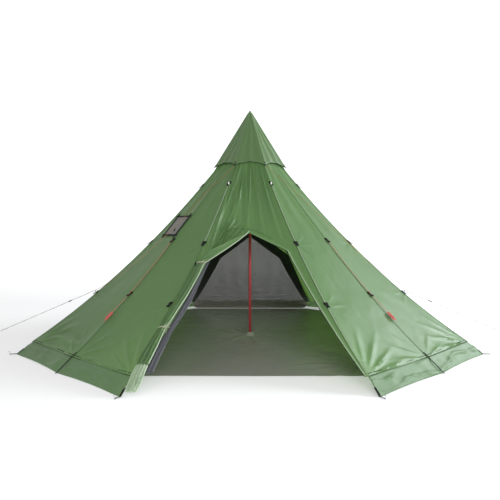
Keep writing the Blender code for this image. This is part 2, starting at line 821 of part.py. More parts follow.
def guy_ends(angle_degrees):
    angle = math.radians(angle_degrees)
    away = Vector((math.cos(angle), math.sin(angle), 0))
    start = ridge_point(angle_degrees, LOWER_TAB_R) + Vector((0, 0, GUY_START_LIFT)) + away * GUY_START_OUT
    end = away * (GUY_PEG_R - PEG_RADIUS - CORD_RADIUS - REST_GAP) + Vector((0, 0, GUY_END_Z))
    return start, end


def add_guy(name, angle_degrees):
    """A taut line from the lower ridge tab to a peg, with a tensioner that slides on it."""
    start, end = guy_ends(angle_degrees)
    away = (end - start).normalized()
    angle = math.radians(angle_degrees)
    sideways = Vector((-math.sin(angle), math.cos(angle), 0))
    up = away.cross(sideways).normalized()
    route = [start.lerp(end, i / (GUY_POINTS - 1)) for i in range(GUY_POINTS)]
    tube(f"guyline_{name}", route, CORD_RADIUS, (GUY_PALE, 0.8))
    centre = start.lerp(end, TENSIONER_AT)
    rings = []
    for distance in (-TENSIONER_HALF_LENGTH, TENSIONER_HALF_LENGTH):
        for ring_half, ring_thick in (TENSIONER_HALF, TENSIONER_SLOT_HALF):
            rings.append([centre + away * distance + sideways * (ring_half * a) + up * (ring_thick * b)
                          for a, b in ((-1, -1), (1, -1), (1, 1), (-1, 1))])
    outer_a, inner_a, outer_b, inner_b = rings
    loops = [outer_a, outer_b, inner_b, inner_a]
    points = [p for loop in loops for p in loop]
    faces = []
    for k in range(4):
        for i in range(4):
            j = (i + 1) % 4
            nxt = (k + 1) % 4
            faces.append((k * 4 + i, k * 4 + j, nxt * 4 + j, nxt * 4 + i))
    body = mesh_object(f"guy_tensioner_{name}", points, faces, (BLACK, 0.5))
    move_origin(body, centre)


def add_tab(name, angle_degrees):
    """A webbing loop that stands on a ridge."""
    angle = math.radians(angle_degrees)
    away = Vector((math.cos(angle), math.sin(angle), 0))
    centre = ridge_point(angle_degrees, LOWER_TAB_R) + Vector((0, 0, TAB_LOOP + 2 * TAB_RADIUS))
    points = []
    for step in range(TAB_STEPS):
        turn = 2 * math.pi * step / TAB_STEPS
        points.append(centre + away * (TAB_RING * math.cos(turn))
                      + Vector((0, 0, TAB_RING * math.sin(turn))))
    tube(f"guy_tab_{name}", points, TAB_RADIUS, (BLACK, 0.8), cyclic=True)


def add_cap_cords():
    """Cords from the cap's points: two long ones across the diagonal faces and two short stays."""
    for name, face, mirror in (("right", "front_right", 1), ("left", "front_left", -1)):
        front_angle = -67.5 if name == "right" else 247.5
        side_angle = -22.5 if name == "right" else 202.5
        start = ridge_point(front_angle, CAP_R)
        start.z = CAP_Z - CAP_CORD_DROP
        start += Vector((start.x, start.y, 0)).normalized() * CAP_CORD_OUT
        end = ridge_point(side_angle, LOWER_TAB_R - CAP_CORD_SHORT) + Vector(CAP_CORD_END)
        route = [start]
        for r, across, lift in CAP_CORD_STOPS[name]:
            route.append(face_point(face, r, across * mirror, lift=lift))
        route.append(end)
        tube(f"cap_cord_{name}", smooth_route(route, CAP_CORD_POINTS), CORD_RADIUS, (CORD_ORANGE, 0.7))
        stay_start = ridge_point(side_angle, CAP_R + STAY_OUT)
        stay_start.z = CAP_Z - CAP_CORD_DROP
        stay_end = ridge_point(side_angle, UPPER_TAB_R) + Vector((0, 0, STAY_LIFT))
        stay = [stay_start.lerp(stay_end, i / (STAY_POINTS - 1)) for i in range(STAY_POINTS)]
        tube(f"cap_stay_{name}", stay, CORD_RADIUS, (STAY_PALE, 0.7))


def add_panel_cords():
    """A cord down the middle seam of each front diagonal face, its tail tied up in a hank."""
    for name, face in (("right", "front_right"), ("left", "front_left")):
        route = [face_point(face, r, 0.0, lift=lift) for r, lift in PANEL_CORD_STOPS]
        tube(f"panel_cord_{name}", smooth_route(route, PANEL_CORD_POINTS), CORD_RADIUS, (CORD_BROWN, 0.8))
        add_hank(f"cord_hank_{name}", face, (CORD_RED, 0.8))


def add_hank(name, face, look):
    """The outer shape of the folded tail: a flat outline with round ends."""
    _, sideways = face_directions(face)
    centre = face_point(face, HANK_R, 0.0, lift=HANK_LIFT)
    normal = surface_normal(face, HANK_R)
    along = sideways.cross(normal).normalized()
    if along.z > 0:
        along = -along
    outline = []
    for end in (1, -1):
        for step in range(HANK_END_STEPS + 1):
            turn = math.pi * (step / HANK_END_STEPS - 0.5)
            outline.append((end * (HANK_HALF_LENGTH + HANK_HALF_WIDTH * math.cos(turn)),
                            end * HANK_HALF_WIDTH * math.sin(turn)))
    rings = []
    for height in (-HANK_HALF_THICK, HANK_HALF_THICK):
        rings.append([centre + along * a + sideways * b + normal * height for a, b in outline])
    loft(name, rings, look, smooth=False)


def build():
    clear_scene()
    add_fly()
    add_rear_screen()
    add_skirts()
    add_rain_cap()
    add_groundsheet()
    add_gathered_door()
    add_rear_roll()
    add_stove_jack()
    add_pole()
    add_pole_lock()
    add_zip_slider("door_zip_slider", "front", 1, FRONT_APEX_R, FRONT_EAVE_R, FRONT_EAVE_HALF,
                   FRONT_SLIDER_INSET)
    add_zip_slider("rear_zip_slider", "rear", -1, REAR_APEX_R, REAR_EAVE_R, REAR_EAVE_HALF,
                   REAR_SLIDER_INSET)
    add_pegs()
    for name, angle in SIDE_RIDGES:
        add_guy(name, angle)
        add_tab(name, angle)
    add_cap_cords()
    add_panel_cords()


build()
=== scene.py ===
"""Looks of the eight-sided teepee tent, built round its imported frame. Metres, +Z up, door towards -Y."""

import math

import bmesh
import bpy
import numpy as np
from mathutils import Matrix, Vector, noise


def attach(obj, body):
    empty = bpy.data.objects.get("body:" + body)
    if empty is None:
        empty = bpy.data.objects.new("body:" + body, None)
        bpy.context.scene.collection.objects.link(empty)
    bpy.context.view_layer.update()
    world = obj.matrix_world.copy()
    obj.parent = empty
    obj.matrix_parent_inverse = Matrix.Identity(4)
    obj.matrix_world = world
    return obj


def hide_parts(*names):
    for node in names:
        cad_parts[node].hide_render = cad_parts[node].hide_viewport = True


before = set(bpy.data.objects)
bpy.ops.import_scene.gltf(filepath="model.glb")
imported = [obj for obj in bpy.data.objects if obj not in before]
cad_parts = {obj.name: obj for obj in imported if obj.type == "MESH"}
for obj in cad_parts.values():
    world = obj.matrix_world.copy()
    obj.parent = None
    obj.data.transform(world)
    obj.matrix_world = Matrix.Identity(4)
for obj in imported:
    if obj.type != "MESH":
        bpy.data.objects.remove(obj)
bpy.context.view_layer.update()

# The fly's shape, as in the CAD model
HALF_SIDE = math.pi / 8
FLY_TOP_R = 0.070
KINK_R = 0.415
KINK_Z = 1.806
HEM_R = 2.237
HEM_Z = 0.107
SKIRT_R = 2.372
UPPER_SLOPE = 1.62
LOWER_SLOPE = 1.21
LOWER_CURVE = 0.153
SEAM_PUSH = 0.055
SIDE_SAG = 0.012
CLOTH = 0.0010

FACES = {"front": -90, "front_right": -45, "right": 0, "rear_right": 45,
         "rear": 90, "rear_left": 135, "left": 180, "front_left": 225}
DIAGONALS = [face for face in FACES if "_" in face]
CORNERS = [-67.5 + 45 * k for k in range(8)]

# Doors: apex radius, eave radius and half width at the eave
FRONT_DOOR = (1.010, 1.170, 0.338)
REAR_DOOR = (1.050, 1.370, 0.404)
DOOR_FOOT_HALF = 0.830

# Radii of the tabs on the ridges and on the middle seams
UPPER_TAB_R, MIDDLE_TAB_R, LOWER_TAB_R = 0.560, 1.110, 1.650
RIDGE_TABS = (UPPER_TAB_R, MIDDLE_TAB_R, LOWER_TAB_R)
SEAM_MIDDLE_TAB_R, SEAM_LOWER_TAB_R = 1.085, 1.605
SEAM_TABS = (SEAM_MIDDLE_TAB_R, SEAM_LOWER_TAB_R)

# Angles of the ridges beside the door and of those with a guyline
FRONT_RIDGES = {"right": -67.5, "left": 247.5}
GUY_RIDGES = {"right": -22.5, "left": 202.5}

TENT = "tent"


# ---------------------------------------------------------------- shape of the fly


def ridge_height(r):
    r = np.asarray(r, float)
    run = r - KINK_R
    top = KINK_Z - UPPER_SLOPE * run
    fly = KINK_Z - LOWER_SLOPE * run + LOWER_CURVE * run * run
    skirt = HEM_Z * (SKIRT_R - r) / (SKIRT_R - HEM_R)
    return np.where(r < KINK_R, top, np.where(r <= HEM_R, fly, skirt))


def outward_push(face, r, across):
    rise = np.clip((r - KINK_R) / 0.6, 0, 1)
    if face in DIAGONALS:
        fall = 1.0 - 0.9 * np.clip(np.minimum(r, HEM_R) - 1.7, 0, None)
        return SEAM_PUSH * rise * fall * (1.0 - np.abs(across))
    return -SIDE_SAG * rise * (1.0 - across * across)


def heading(degrees):
    """The outward and the sideways direction at an angle round the tent."""
    angle = math.radians(degrees)
    return (np.array([math.cos(angle), math.sin(angle), 0.0]),
            np.array([-math.sin(angle), math.cos(angle), 0.0]))


def face_axes(face):
    return heading(FACES[face])


def half_width(r):
    return np.asarray(r) * math.sin(HALF_SIDE)


def slope_normal(face, r):
    """Unit normals of a face at the radii r."""
    drop = (ridge_height(r - 0.01) - ridge_height(r + 0.01)) / (0.02 * math.cos(HALF_SIDE))
    outward, _ = face_axes(face)
    normals = np.multiply.outer(drop, outward) + np.array([0.0, 0.0, 1.0])
    return normals / np.linalg.norm(normals, axis=-1, keepdims=True)


def normal_at(face, r):
    return slope_normal(face, np.array([r]))[0]


def surface(face, r, across, lift=0.0):
    """Points of a face: across runs from -1 to 1 between its ridges, and lift is along the normal."""
    r, across, lift = np.broadcast_arrays(np.asarray(r, float), across, lift)
    outward, sideways = face_axes(face)
    reach = r * math.cos(HALF_SIDE) + outward_push(face, r, across)
    points = np.multiply.outer(reach, outward) + np.multiply.outer(across * half_width(r), sideways)
    points[..., 2] = ridge_height(r)
    return points + slope_normal(face, r) * lift[..., None]


def ridge_spot(angle, r, lift=0.0):
    turn = math.radians(angle)
    return Vector((r * math.cos(turn), r * math.sin(turn), float(ridge_height(r)) + lift))


def door_half(r, door):
    apex, eave, half = door
    upper = half * (r - apex) / (eave - apex)
    lower = half + (DOOR_FOOT_HALF - half) * (r - eave) / (HEM_R - eave)
    return np.where(r <= apex, 0.0, np.where(r <= eave, upper, lower))


def full_turn(count):
    return np.linspace(0, 2 * math.pi, count, endpoint=False)


def paired(*values):
    """Coordinates side by side in a last axis."""
    return np.stack(np.broadcast_arrays(*values), -1)


def smooth_step(value, low, high):
    t = np.clip((value - low) / (high - low), 0, 1)
    return t * t * (3 - 2 * t)


def ripple(points, size, seed):
    """Smooth noise from -1 to 1 at each point, with bumps about size metres wide."""
    flat = points.reshape(-1, 3) / size + seed * 17.3
    values = [noise.noise(Vector(p)) for p in flat]
    return np.array(values).reshape(points.shape[:-1])


# ---------------------------------------------------------------- mesh helpers


class Parts:
    """Collects shapes that make up one object, each with its UV in metres."""

    def __init__(self):
        self.points = []
        self.uv = []
        self.faces = []

    def grid(self, points, uv, wrap=False, caps=False):
        points = np.asarray(points, float)
        rows, columns = points.shape[:2]
        start = len(self.points)
        self.points += points.reshape(-1, 3).tolist()
        self.uv += np.asarray(uv, float).reshape(-1, 2).tolist()
        for i in range(rows - 1):
            for j in range(columns if wrap else columns - 1):
                k = (j + 1) % columns
                a, b = start + i * columns, start + (i + 1) * columns
                self.faces.append((a + j, a + k, b + k, b + j))
        if caps:
            last = start + (rows - 1) * columns
            self.faces.append(tuple(range(start, start + columns)))
            self.faces.append(tuple(range(last, last + columns)))

    def build(self, name, look, body=TENT, slot=None, replaces=(), weld=0.0, fix=True):
        mesh = bpy.data.meshes.new(name)
        mesh.from_pydata(self.points, [], self.faces)
        layer = mesh.uv_layers.new(name="cloth")
        corner_of = np.empty(len(mesh.loops), np.int32)
        mesh.loops.foreach_get("vertex_index", corner_of)
        layer.data.foreach_set("uv", np.asarray(self.uv, np.float32)[corner_of].ravel())
        work = bmesh.new()
        work.from_mesh(mesh)
        if weld:
            bmesh.ops.remove_doubles(work, verts=work.verts, dist=weld)
            bmesh.ops.dissolve_degenerate(work, edges=work.edges, dist=weld / 4)
        if fix:
            bmesh.ops.recalc_face_normals(work, faces=work.faces)
        work.to_mesh(mesh)
        work.free()
        mesh.shade_smooth()
        mesh.set_sharp_from_angle(angle=math.radians(50))
        mesh.materials.append(look)
        made = bpy.data.objects.new(name, mesh)
        bpy.context.collection.objects.link(made)
        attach(made, body)
        if replaces:
            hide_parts(*replaces)
        return made


def thicken(item, thickness=CLOTH, offset=-1.0):
    modifier = item.modifiers.new("thickness", "SOLIDIFY")
    modifier.thickness = thickness
    modifier.offset = offset
    modifier.use_even_offset = False


def unit(vectors):
    vectors = np.asarray(vectors, float)
    return vectors / np.maximum(np.linalg.norm(vectors, axis=-1, keepdims=True), 1e-12)


def run_lengths(path):
    steps = np.linalg.norm(np.diff(path, axis=0), axis=1)
    return np.concatenate([[0.0], np.cumsum(steps)])


def path_frames(path):
    """Tangents and two cross directions that turn as little as they can along the path."""
    tangents = unit(np.gradient(path, axis=0))
    guess = np.array([0.0, 0.0, 1.0]) if abs(tangents[0][2]) < 0.9 else np.array([1.0, 0.0, 0.0])
    first = unit(np.cross(tangents[0], guess))
    across = [first]
    for tangent in tangents[1:]:
        kept = across[-1] - tangent * float(np.dot(across[-1], tangent))
        across.append(unit(kept))
    across = np.array(across)
    return tangents, across, np.cross(tangents, across)


def tube(parts, path, radius, sides=10, closed=False):
    path = np.asarray(path, float)
    if closed:
        path = np.vstack([path, path[:1]])
    _, a, b = path_frames(path)
    turn = full_turn(sides)
    radii = np.broadcast_to(radius, len(path))[:, None, None]
    ring = a[:, None, :] * np.cos(turn)[None, :, None] + b[:, None, :] * np.sin(turn)[None, :, None]
    grid = path[:, None, :] + ring * radii
    down = run_lengths(path)
    uv = paired(turn[None, :] / (2 * math.pi), down[:, None])
    parts.grid(grid, uv, wrap=True, caps=True)


def ribbon(parts, path, side, width, thick):
    """A flat strap: side is its width direction, at each point or once for all."""
    path = np.asarray(path, float)
    tangents = unit(np.gradient(path, axis=0))
    side = np.broadcast_to(np.asarray(side, float), path.shape)
    side = unit(side - tangents * np.sum(side * tangents, axis=1, keepdims=True))
    up = np.cross(side, tangents)
    across = np.array([-1.0, -0.94, -0.5, 0.0, 0.5, 0.94, 1.0, 0.94, 0.5, 0.0, -0.5, -0.94])
    high = np.array([0.0, 1.0, 1.0, 1.0, 1.0, 1.0, 0.0, -1.0, -1.0, -1.0, -1.0, -1.0])
    widths = np.broadcast_to(width, len(path))[:, None, None] / 2
    grid = (path[:, None, :] + side[:, None, :] * across[None, :, None] * widths
            + up[:, None, :] * (high * thick / 2)[None, :, None])
    down = run_lengths(path)
    uv = paired(across[None, :] * widths[:, :, 0], down[:, None])
    parts.grid(grid, uv, wrap=True, caps=True)


TURN_STEPS = 48
ROUTE_STEP = 0.02


def turned(parts, profile):
    """A profile of (radius, height) turned about the pole's line."""
    profile = np.asarray(profile, float)
    turn = full_turn(TURN_STEPS)
    x = profile[:, :1] * np.cos(turn)
    y = profile[:, :1] * np.sin(turn)
    z = np.broadcast_to(profile[:, 1:2], x.shape)
    down = run_lengths(np.column_stack([profile, np.zeros(len(profile))]))
    uv = paired(turn[None, :] * 0.02, down[:, None])
    parts.grid(np.stack([x, y, z], -1), uv, wrap=True)


def smooth_route(points, count):
    """Even points along a smooth curve through the given ones."""
    points = [np.asarray(p, float) for p in points]
    padded = [points[0] * 2 - points[1]] + points + [points[-1] * 2 - points[-2]]
    fine = []
    for p0, p1, p2, p3 in zip(padded, padded[1:], padded[2:], padded[3:]):
        for t in np.arange(24) / 24:
            fine.append(0.5 * (2 * p1 + (p2 - p0) * t + (2 * p0 - 5 * p1 + 4 * p2 - p3) * t ** 2
                               + (3 * p1 - p0 - 3 * p2 + p3) * t ** 3))
    fine = np.array(fine + [points[-1]])
    down = run_lengths(fine)
    wanted = np.linspace(0, down[-1], count)
    return np.stack([np.interp(wanted, down, fine[:, k]) for k in range(3)], -1)


def face_route(face, stations, lift=0.0):
    """Points on a face along straight stretches between (radius, side) stations."""
    route = []
    for (r0, s0), (r1, s1) in zip(stations, stations[1:]):
        count = max(2, int(math.hypot(r1 - r0, s1 - s0) * 1.4 / ROUTE_STEP))
        for t in np.arange(count) / count:
            route.append((r0 + (r1 - r0) * t, s0 + (s1 - s0) * t))
    route.append(stations[-1])
    route = np.array(route)
    return surface(face, route[:, 0], route[:, 1] / half_width(route[:, 0]), lift)


def face_band(parts, face, stations, width, thick, lift):
    path = face_route(face, stations, lift)
    normal = normal_at(face, 1.2)
    tangents = unit(np.gradient(path, axis=0))
    ribbon(parts, path, np.cross(tangents, normal), width, thick)


# ---------------------------------------------------------------- material helpers


def new_look(name, colour, roughness, metallic=0.0, sheen=0.0):
    made = bpy.data.materials.new(name)
    made.use_nodes = True
    tree = made.node_tree
    shader = tree.nodes["Principled BSDF"]
    shader.inputs["Base Color"].default_value = (*colour, 1.0)
    shader.inputs["Roughness"].default_value = roughness
    shader.inputs["Metallic"].default_value = metallic
    shader.inputs["Sheen Weight"].default_value = sheen
    return made, shader, tree


def node(tree, kind, **values):
    made = tree.nodes.new(kind)
    for key, value in values.items():
        if key in made.inputs:
            made.inputs[key].default_value = value
        else:
            setattr(made, key, value)
    return made


def noise_of(tree, source, scale, detail=3.0, stretch=(1, 1, 1)):
    mapping = node(tree, "ShaderNodeMapping")
    mapping.inputs["Scale"].default_value = stretch
    tree.links.new(source, mapping.inputs["Vector"])
    made = node(tree, "ShaderNodeTexNoise", Scale=scale, Detail=detail)
    tree.links.new(mapping.outputs["Vector"], made.inputs["Vector"])
    return made.outputs["Fac"]


def calc(tree, operation, first, second=None, third=None, clamp=False):
    made = node(tree, "ShaderNodeMath", operation=operation, use_clamp=clamp)
    for socket, value in zip(made.inputs, (first, second, third)):
        if value is None:
            continue
        if isinstance(value, (int, float)):
            socket.default_value = value
        else:
            tree.links.new(value, socket)
    return made.outputs["Value"]


def blend_of(tree, factor, first, second):
    """A colour between two, each a colour or a socket."""
    made = node(tree, "ShaderNodeMix", data_type="RGBA")
    sockets = [s for s in made.inputs if s.type == "RGBA"]
    for socket, value in zip(sockets, (first, second)):
        if isinstance(value, tuple):
            socket.default_value = (*value, 1.0)
        else:
            tree.links.new(value, socket)
    if isinstance(factor, (int, float)):
        made.inputs["Factor"].default_value = factor
    else:
        tree.links.new(factor, made.inputs["Factor"])
    return [s for s in made.outputs if s.type == "RGBA"][0]


def object_place(tree):
    return node(tree, "ShaderNodeTexCoord").outputs["Object"]


def uv_axes(tree):
    where = node(tree, "ShaderNodeUVMap", uv_map="cloth").outputs["UV"]
    split = node(tree, "ShaderNodeSeparateXYZ")
    tree.links.new(where, split.inputs[0])
    return split.outputs["X"], split.outputs["Y"]


def lines_of(tree, socket, spacing, sharpness=14.0):
    """Thin lines, 1 on each line and 0 between, at the given spacing in metres."""
    turn = calc(tree, "MULTIPLY", socket, math.pi / spacing)
    return calc(tree, "POWER", calc(tree, "ABSOLUTE", calc(tree, "COSINE", turn)), sharpness)


def add_bump(tree, shader, height, strength, distance):
    made = node(tree, "ShaderNodeBump", Strength=strength, Distance=distance)
    tree.links.new(height, made.inputs["Height"])
    tree.links.new(made.outputs["Normal"], shader.inputs["Normal"])


def mix_surface(tree, first, second):
    """Mixes two surface shaders into the output: input 0 of the mix is the second one's share."""
    mixed = node(tree, "ShaderNodeMixShader")
    tree.links.new(first.outputs[0], mixed.inputs[1])
    tree.links.new(second.outputs[0], mixed.inputs[2])
    tree.links.new(mixed.outputs[0], tree.nodes["Material Output"].inputs["Surface"])
    return mixed


def shade(colour, factor):
    return tuple(min(1.0, c * factor) for c in colour)


# Light through the cloth, the netting's cell, the share of flecks in a cord and the stretch of drawn marks
GLOW = (0.54, 0.76, 0.36)
NET_CELL = 0.0022
FLECK_SHARE = 0.25
DRAWN_STRETCH = 12


def cloth_look(name, colour, roughness=0.42, spread=0.10, through=0.0, sheen=0.2, grid=0.006,
               crease=0.30, seams=False):
    """Coated ripstop cloth: colour drift, creases, a woven grid, stitched seams and light through it."""
    made, shader, tree = new_look(name, colour, roughness, sheen=sheen)
    shader.inputs["Sheen Roughness"].default_value = 0.5
    place = object_place(tree)
    u, v = uv_axes(tree)
    drift = noise_of(tree, place, 1.6, 4.0)
    tint = blend_of(tree, drift, shade(colour, 1 - spread), shade(colour, 1 + spread))
    weave = calc(tree, "MAXIMUM", lines_of(tree, u, grid), lines_of(tree, v, grid))
    tint = blend_of(tree, calc(tree, "MULTIPLY", weave, 0.10), tint, shade(colour, 0.6))
    creases = noise_of(tree, place, 30.0, 5.0, (1.0, 1.0, 0.4))
    height = calc(tree, "ADD", creases, calc(tree, "MULTIPLY", weave, 0.10))
    if seams:
        band = calc(tree, "LESS_THAN", u, 0.013)
        tint = blend_of(tree, calc(tree, "MULTIPLY", band, 0.22), tint, shade(colour, 0.45))
        row = calc(tree, "MAXIMUM", stitch_row(tree, u, 0.004), stitch_row(tree, u, 0.0105))
        dash = calc(tree, "GREATER_THAN", calc(tree, "FRACT", calc(tree, "MULTIPLY", v, 1 / 0.0045)), 0.35)
        stitch = calc(tree, "MULTIPLY", row, dash)
        tint = blend_of(tree, calc(tree, "MULTIPLY", stitch, 0.75), tint, shade(colour, 0.22))
        height = calc(tree, "ADD", height, calc(tree, "MULTIPLY", band, 0.35))
        height = calc(tree, "SUBTRACT", height, calc(tree, "MULTIPLY", stitch, 0.5))
    tree.links.new(tint, shader.inputs["Base Color"])
    add_bump(tree, shader, height, crease, 0.003)
    gloss = calc(tree, "MULTIPLY_ADD", noise_of(tree, place, 9.0), 0.2, roughness - 0.1)
    tree.links.new(gloss, shader.inputs["Roughness"])
    if through:
        back = node(tree, "ShaderNodeBsdfTranslucent")
        back.inputs["Color"].default_value = (*GLOW, 1.0)
        mixed = mix_surface(tree, shader, back)
        mixed.inputs[0].default_value = through
    return made


def stitch_row(tree, u, at):
    return calc(tree, "LESS_THAN", calc(tree, "ABSOLUTE", calc(tree, "SUBTRACT", u, at)), 0.0007)


def mesh_cloth_look(name, colour, light, holes):
    """Fine netting: crossed threads with holes that let the light through."""
    made, shader, tree = new_look(name, colour, 0.75, sheen=0.3)
    place = object_place(tree)
    u, v = uv_axes(tree)
    threads = calc(tree, "MAXIMUM", lines_of(tree, u, NET_CELL, 3.0), lines_of(tree, v, NET_CELL, 3.0))
    drift = noise_of(tree, place, 3.0, 4.0)
    tint = blend_of(tree, drift, shade(colour, 0.8), light)
    tint = blend_of(tree, calc(tree, "MULTIPLY", threads, 0.35), tint, shade(light, 1.3))
    tree.links.new(tint, shader.inputs["Base Color"])
    add_bump(tree, shader, threads, 0.4, 0.001)
    clear = node(tree, "ShaderNodeBsdfTransparent")
    open_share = calc(tree, "MULTIPLY", calc(tree, "SUBTRACT", 1.0, threads), holes)
    tree.links.new(open_share, mix_surface(tree, shader, clear).inputs[0])
    return made


def webbing_look(name, colour, roughness=0.75):
    """Woven strap: a fine herringbone and worn, paler patches."""
    made, shader, tree = new_look(name, colour, roughness, sheen=0.05)
    place = object_place(tree)
    shader.inputs["Specular IOR Level"].default_value = 0.08
    u, v = uv_axes(tree)
    slant = calc(tree, "ADD", calc(tree, "ABSOLUTE", u), v)
    ribs = lines_of(tree, slant, 0.0018, 2.0)
    tint = blend_of(tree, ribs, shade(colour, 0.7), shade(colour, 1.6))
    wear = noise_of(tree, place, 60.0, 4.0)
    tint = blend_of(tree, calc(tree, "MULTIPLY", wear, 0.25), tint, shade(colour, 3.0))
    tree.links.new(tint, shader.inputs["Base Color"])
    add_bump(tree, shader, ribs, 0.5, 0.0006)
    return made


def cord_look(name, colour, fleck, dash=None):
    """Braided cord with a flecked cover, in dashes where the cord has a reflective thread."""
    made, shader, tree = new_look(name, colour, 0.65, sheen=0.25)
    u, v = uv_axes(tree)
    turn = calc(tree, "MULTIPLY", u, 8 * math.pi)
    climb = calc(tree, "MULTIPLY", v, 2 * math.pi / 0.007)
    braid = calc(tree, "MULTIPLY", calc(tree, "SINE", calc(tree, "ADD", turn, climb)),
                 calc(tree, "SINE", calc(tree, "SUBTRACT", turn, climb)))
    flecks = calc(tree, "GREATER_THAN", braid, 1 - 2 * FLECK_SHARE)
    tint = blend_of(tree, flecks, colour, fleck)
    tint = blend_of(tree, calc(tree, "MULTIPLY", calc(tree, "ABSOLUTE", braid), 0.4), tint,
                    shade(colour, 0.5))
    if dash:
        part = calc(tree, "FRACT", calc(tree, "MULTIPLY", v, 1 / dash[0]))
        tint = blend_of(tree, calc(tree, "GREATER_THAN", part, dash[1]), tint, dash[2])
    tree.links.new(tint, shader.inputs["Base Color"])
    add_bump(tree, shader, braid, 0.5, 0.0005)
    return made


def metal_look(name, colour, roughness, metallic=1.0):
    """Drawn or anodised metal: fine lines along it, smudges and small scratches."""
    made, shader, tree = new_look(name, colour, roughness, metallic)
    place = object_place(tree)
    smudge = noise_of(tree, place, 14.0, 5.0)
    scratch = noise_of(tree, place, 900.0, 2.0, (1, 1, 1 / DRAWN_STRETCH))
    tint = blend_of(tree, smudge, shade(colour, 0.82), shade(colour, 1.15))
    tree.links.new(tint, shader.inputs["Base Color"])
    gloss = calc(tree, "MULTIPLY_ADD", smudge, 0.25, roughness - 0.1)
    tree.links.new(gloss, shader.inputs["Roughness"])
    add_bump(tree, shader, scratch, 0.12, 0.0004)
    return made


def plastic_look(name, colour, roughness=0.5):
    """Moulded plastic or rubber with a fine spark-eroded grain and rubbed patches."""
    made, shader, tree = new_look(name, colour, roughness)
    place = object_place(tree)
    grain = noise_of(tree, place, 1400.0, 2.0)
    rub = noise_of(tree, place, 45.0, 5.0)
    tint = blend_of(tree, rub, shade(colour, 0.75), shade(colour, 1.7))
    tree.links.new(tint, shader.inputs["Base Color"])
    gloss = calc(tree, "MULTIPLY_ADD", rub, 0.25, roughness - 0.12)
    tree.links.new(gloss, shader.inputs["Roughness"])
    add_bump(tree, shader, grain, 0.25, 0.0003)
    return made


GREEN = (0.140, 0.258, 0.098)
# The skirt is the fly's own cloth, given a darker copy of its green: painted shade, for the shadow that lies
# on the skirt.
SHADED_SKIRT_GREEN = (0.104, 0.198, 0.080)
CAP_GREEN = (0.097, 0.184, 0.062)
# The gathered cloth at the door foot is the door's own cloth, painted far paler: painted light on its
# upturned folds.
LIT_GATHER_GREEN = (0.700, 0.820, 0.640)

LOOKS = {
    "fly": cloth_look("fly_cloth", GREEN, 0.42, 0.07, through=0.46, sheen=0.1, seams=True),
    "cap": cloth_look("cap_cloth", CAP_GREEN, 0.42, 0.10, through=0.25),
    "skirt": cloth_look("skirt_cloth_shaded", SHADED_SKIRT_GREEN, 0.55, 0.18, through=0.25, crease=0.5, sheen=0.1),
    "door": cloth_look("door_cloth", shade(GREEN, 1.15), 0.40, 0.12, through=0.30),
    "gather": cloth_look("gather_cloth_lit", LIT_GATHER_GREEN, 0.45, 0.12, through=0.35, crease=0.6),
    "piping": cloth_look("piping_cloth", (0.46, 0.54, 0.40), 0.55, 0.08, grid=0.002),
    "sheet": cloth_look("sheet_cloth", (0.215, 0.215, 0.185), 0.38, 0.12, grid=0.004, crease=0.35, sheen=0.1),
    # Near-black cloth for the wide band inside the rear panel round the door: painted shade for the unlit
    # inside of the rear cloth.
    "facing": cloth_look("facing_cloth", (0.010, 0.014, 0.009), 0.7, 0.2, grid=0.003),
    "net": mesh_cloth_look("rear_netting", (0.105, 0.092, 0.084), (0.190, 0.168, 0.155), 0.62),
    "lining": mesh_cloth_look("sill_netting", (0.240, 0.225, 0.205), (0.360, 0.330, 0.300), 0.2),
    "door_net": mesh_cloth_look("door_netting", (0.035, 0.039, 0.048), (0.105, 0.115, 0.140), 0.20),
    "webbing": webbing_look("black_webbing", (0.004, 0.0045, 0.004), 0.85),
    "binding": webbing_look("cap_binding", (0.030, 0.048, 0.024)),
    "tie": webbing_look("pale_webbing", (0.27, 0.28, 0.20), 0.7),
    "patch": cloth_look("patch_cloth", (0.100, 0.096, 0.080), 0.65, 0.18, grid=0.003, crease=0.5),
    "cup": cloth_look("cup_cloth", (0.30, 0.30, 0.26), 0.7, 0.2, grid=0.003, crease=0.6),
    "cord_orange": cord_look("orange_cord", (0.42, 0.150, 0.045), (0.22, 0.20, 0.05)),
    "cord_pale": cord_look("pale_cord", (0.36, 0.35, 0.27), (0.55, 0.55, 0.48),
                           dash=(0.090, 0.45, (0.140, 0.145, 0.135))),
    # The same guy cord in darker colours for the right guyline: painted shade against the key light that
    # falls on that side.
    "cord_guy_shaded": cord_look("guy_cord_shaded", (0.20, 0.20, 0.16), (0.30, 0.30, 0.26),
                          dash=(0.090, 0.42, (0.012, 0.013, 0.012))),
    "cord_stay": cord_look("stay_cord", (0.55, 0.52, 0.36), (0.42, 0.30, 0.18)),
    "cord_red": cord_look("red_cord", (0.62, 0.085, 0.060), (0.75, 0.40, 0.33)),
    "pole": metal_look("pole_anodised", (0.56, 0.060, 0.070), 0.36, 0.45),
    "peg": metal_look("peg_alloy", (0.55, 0.56, 0.58), 0.35),
    "slider": metal_look("slider_metal", (0.030, 0.030, 0.030), 0.32, 0.7),
    "plastic": plastic_look("lock_plastic", (0.016, 0.016, 0.017)),
    "rubber": plastic_look("foot_rubber", (0.020, 0.020, 0.020), 0.75),
    "toggle": plastic_look("toggle_plastic", (0.70, 0.72, 0.66), 0.45),
}


def wear_cad(node_name, look):
    """Gives a CAD node that stays in view its finished material."""
    item = bpy.data.objects[node_name]
    for slot in item.material_slots:
        slot.material = LOOKS[look]


# ---------------------------------------------------------------- camera

CAMERA_DISTANCE = 5.906
CAMERA_HEIGHT = 1.168
CAMERA_LENS = 38.3
HORIZON_SHIFT = -0.040


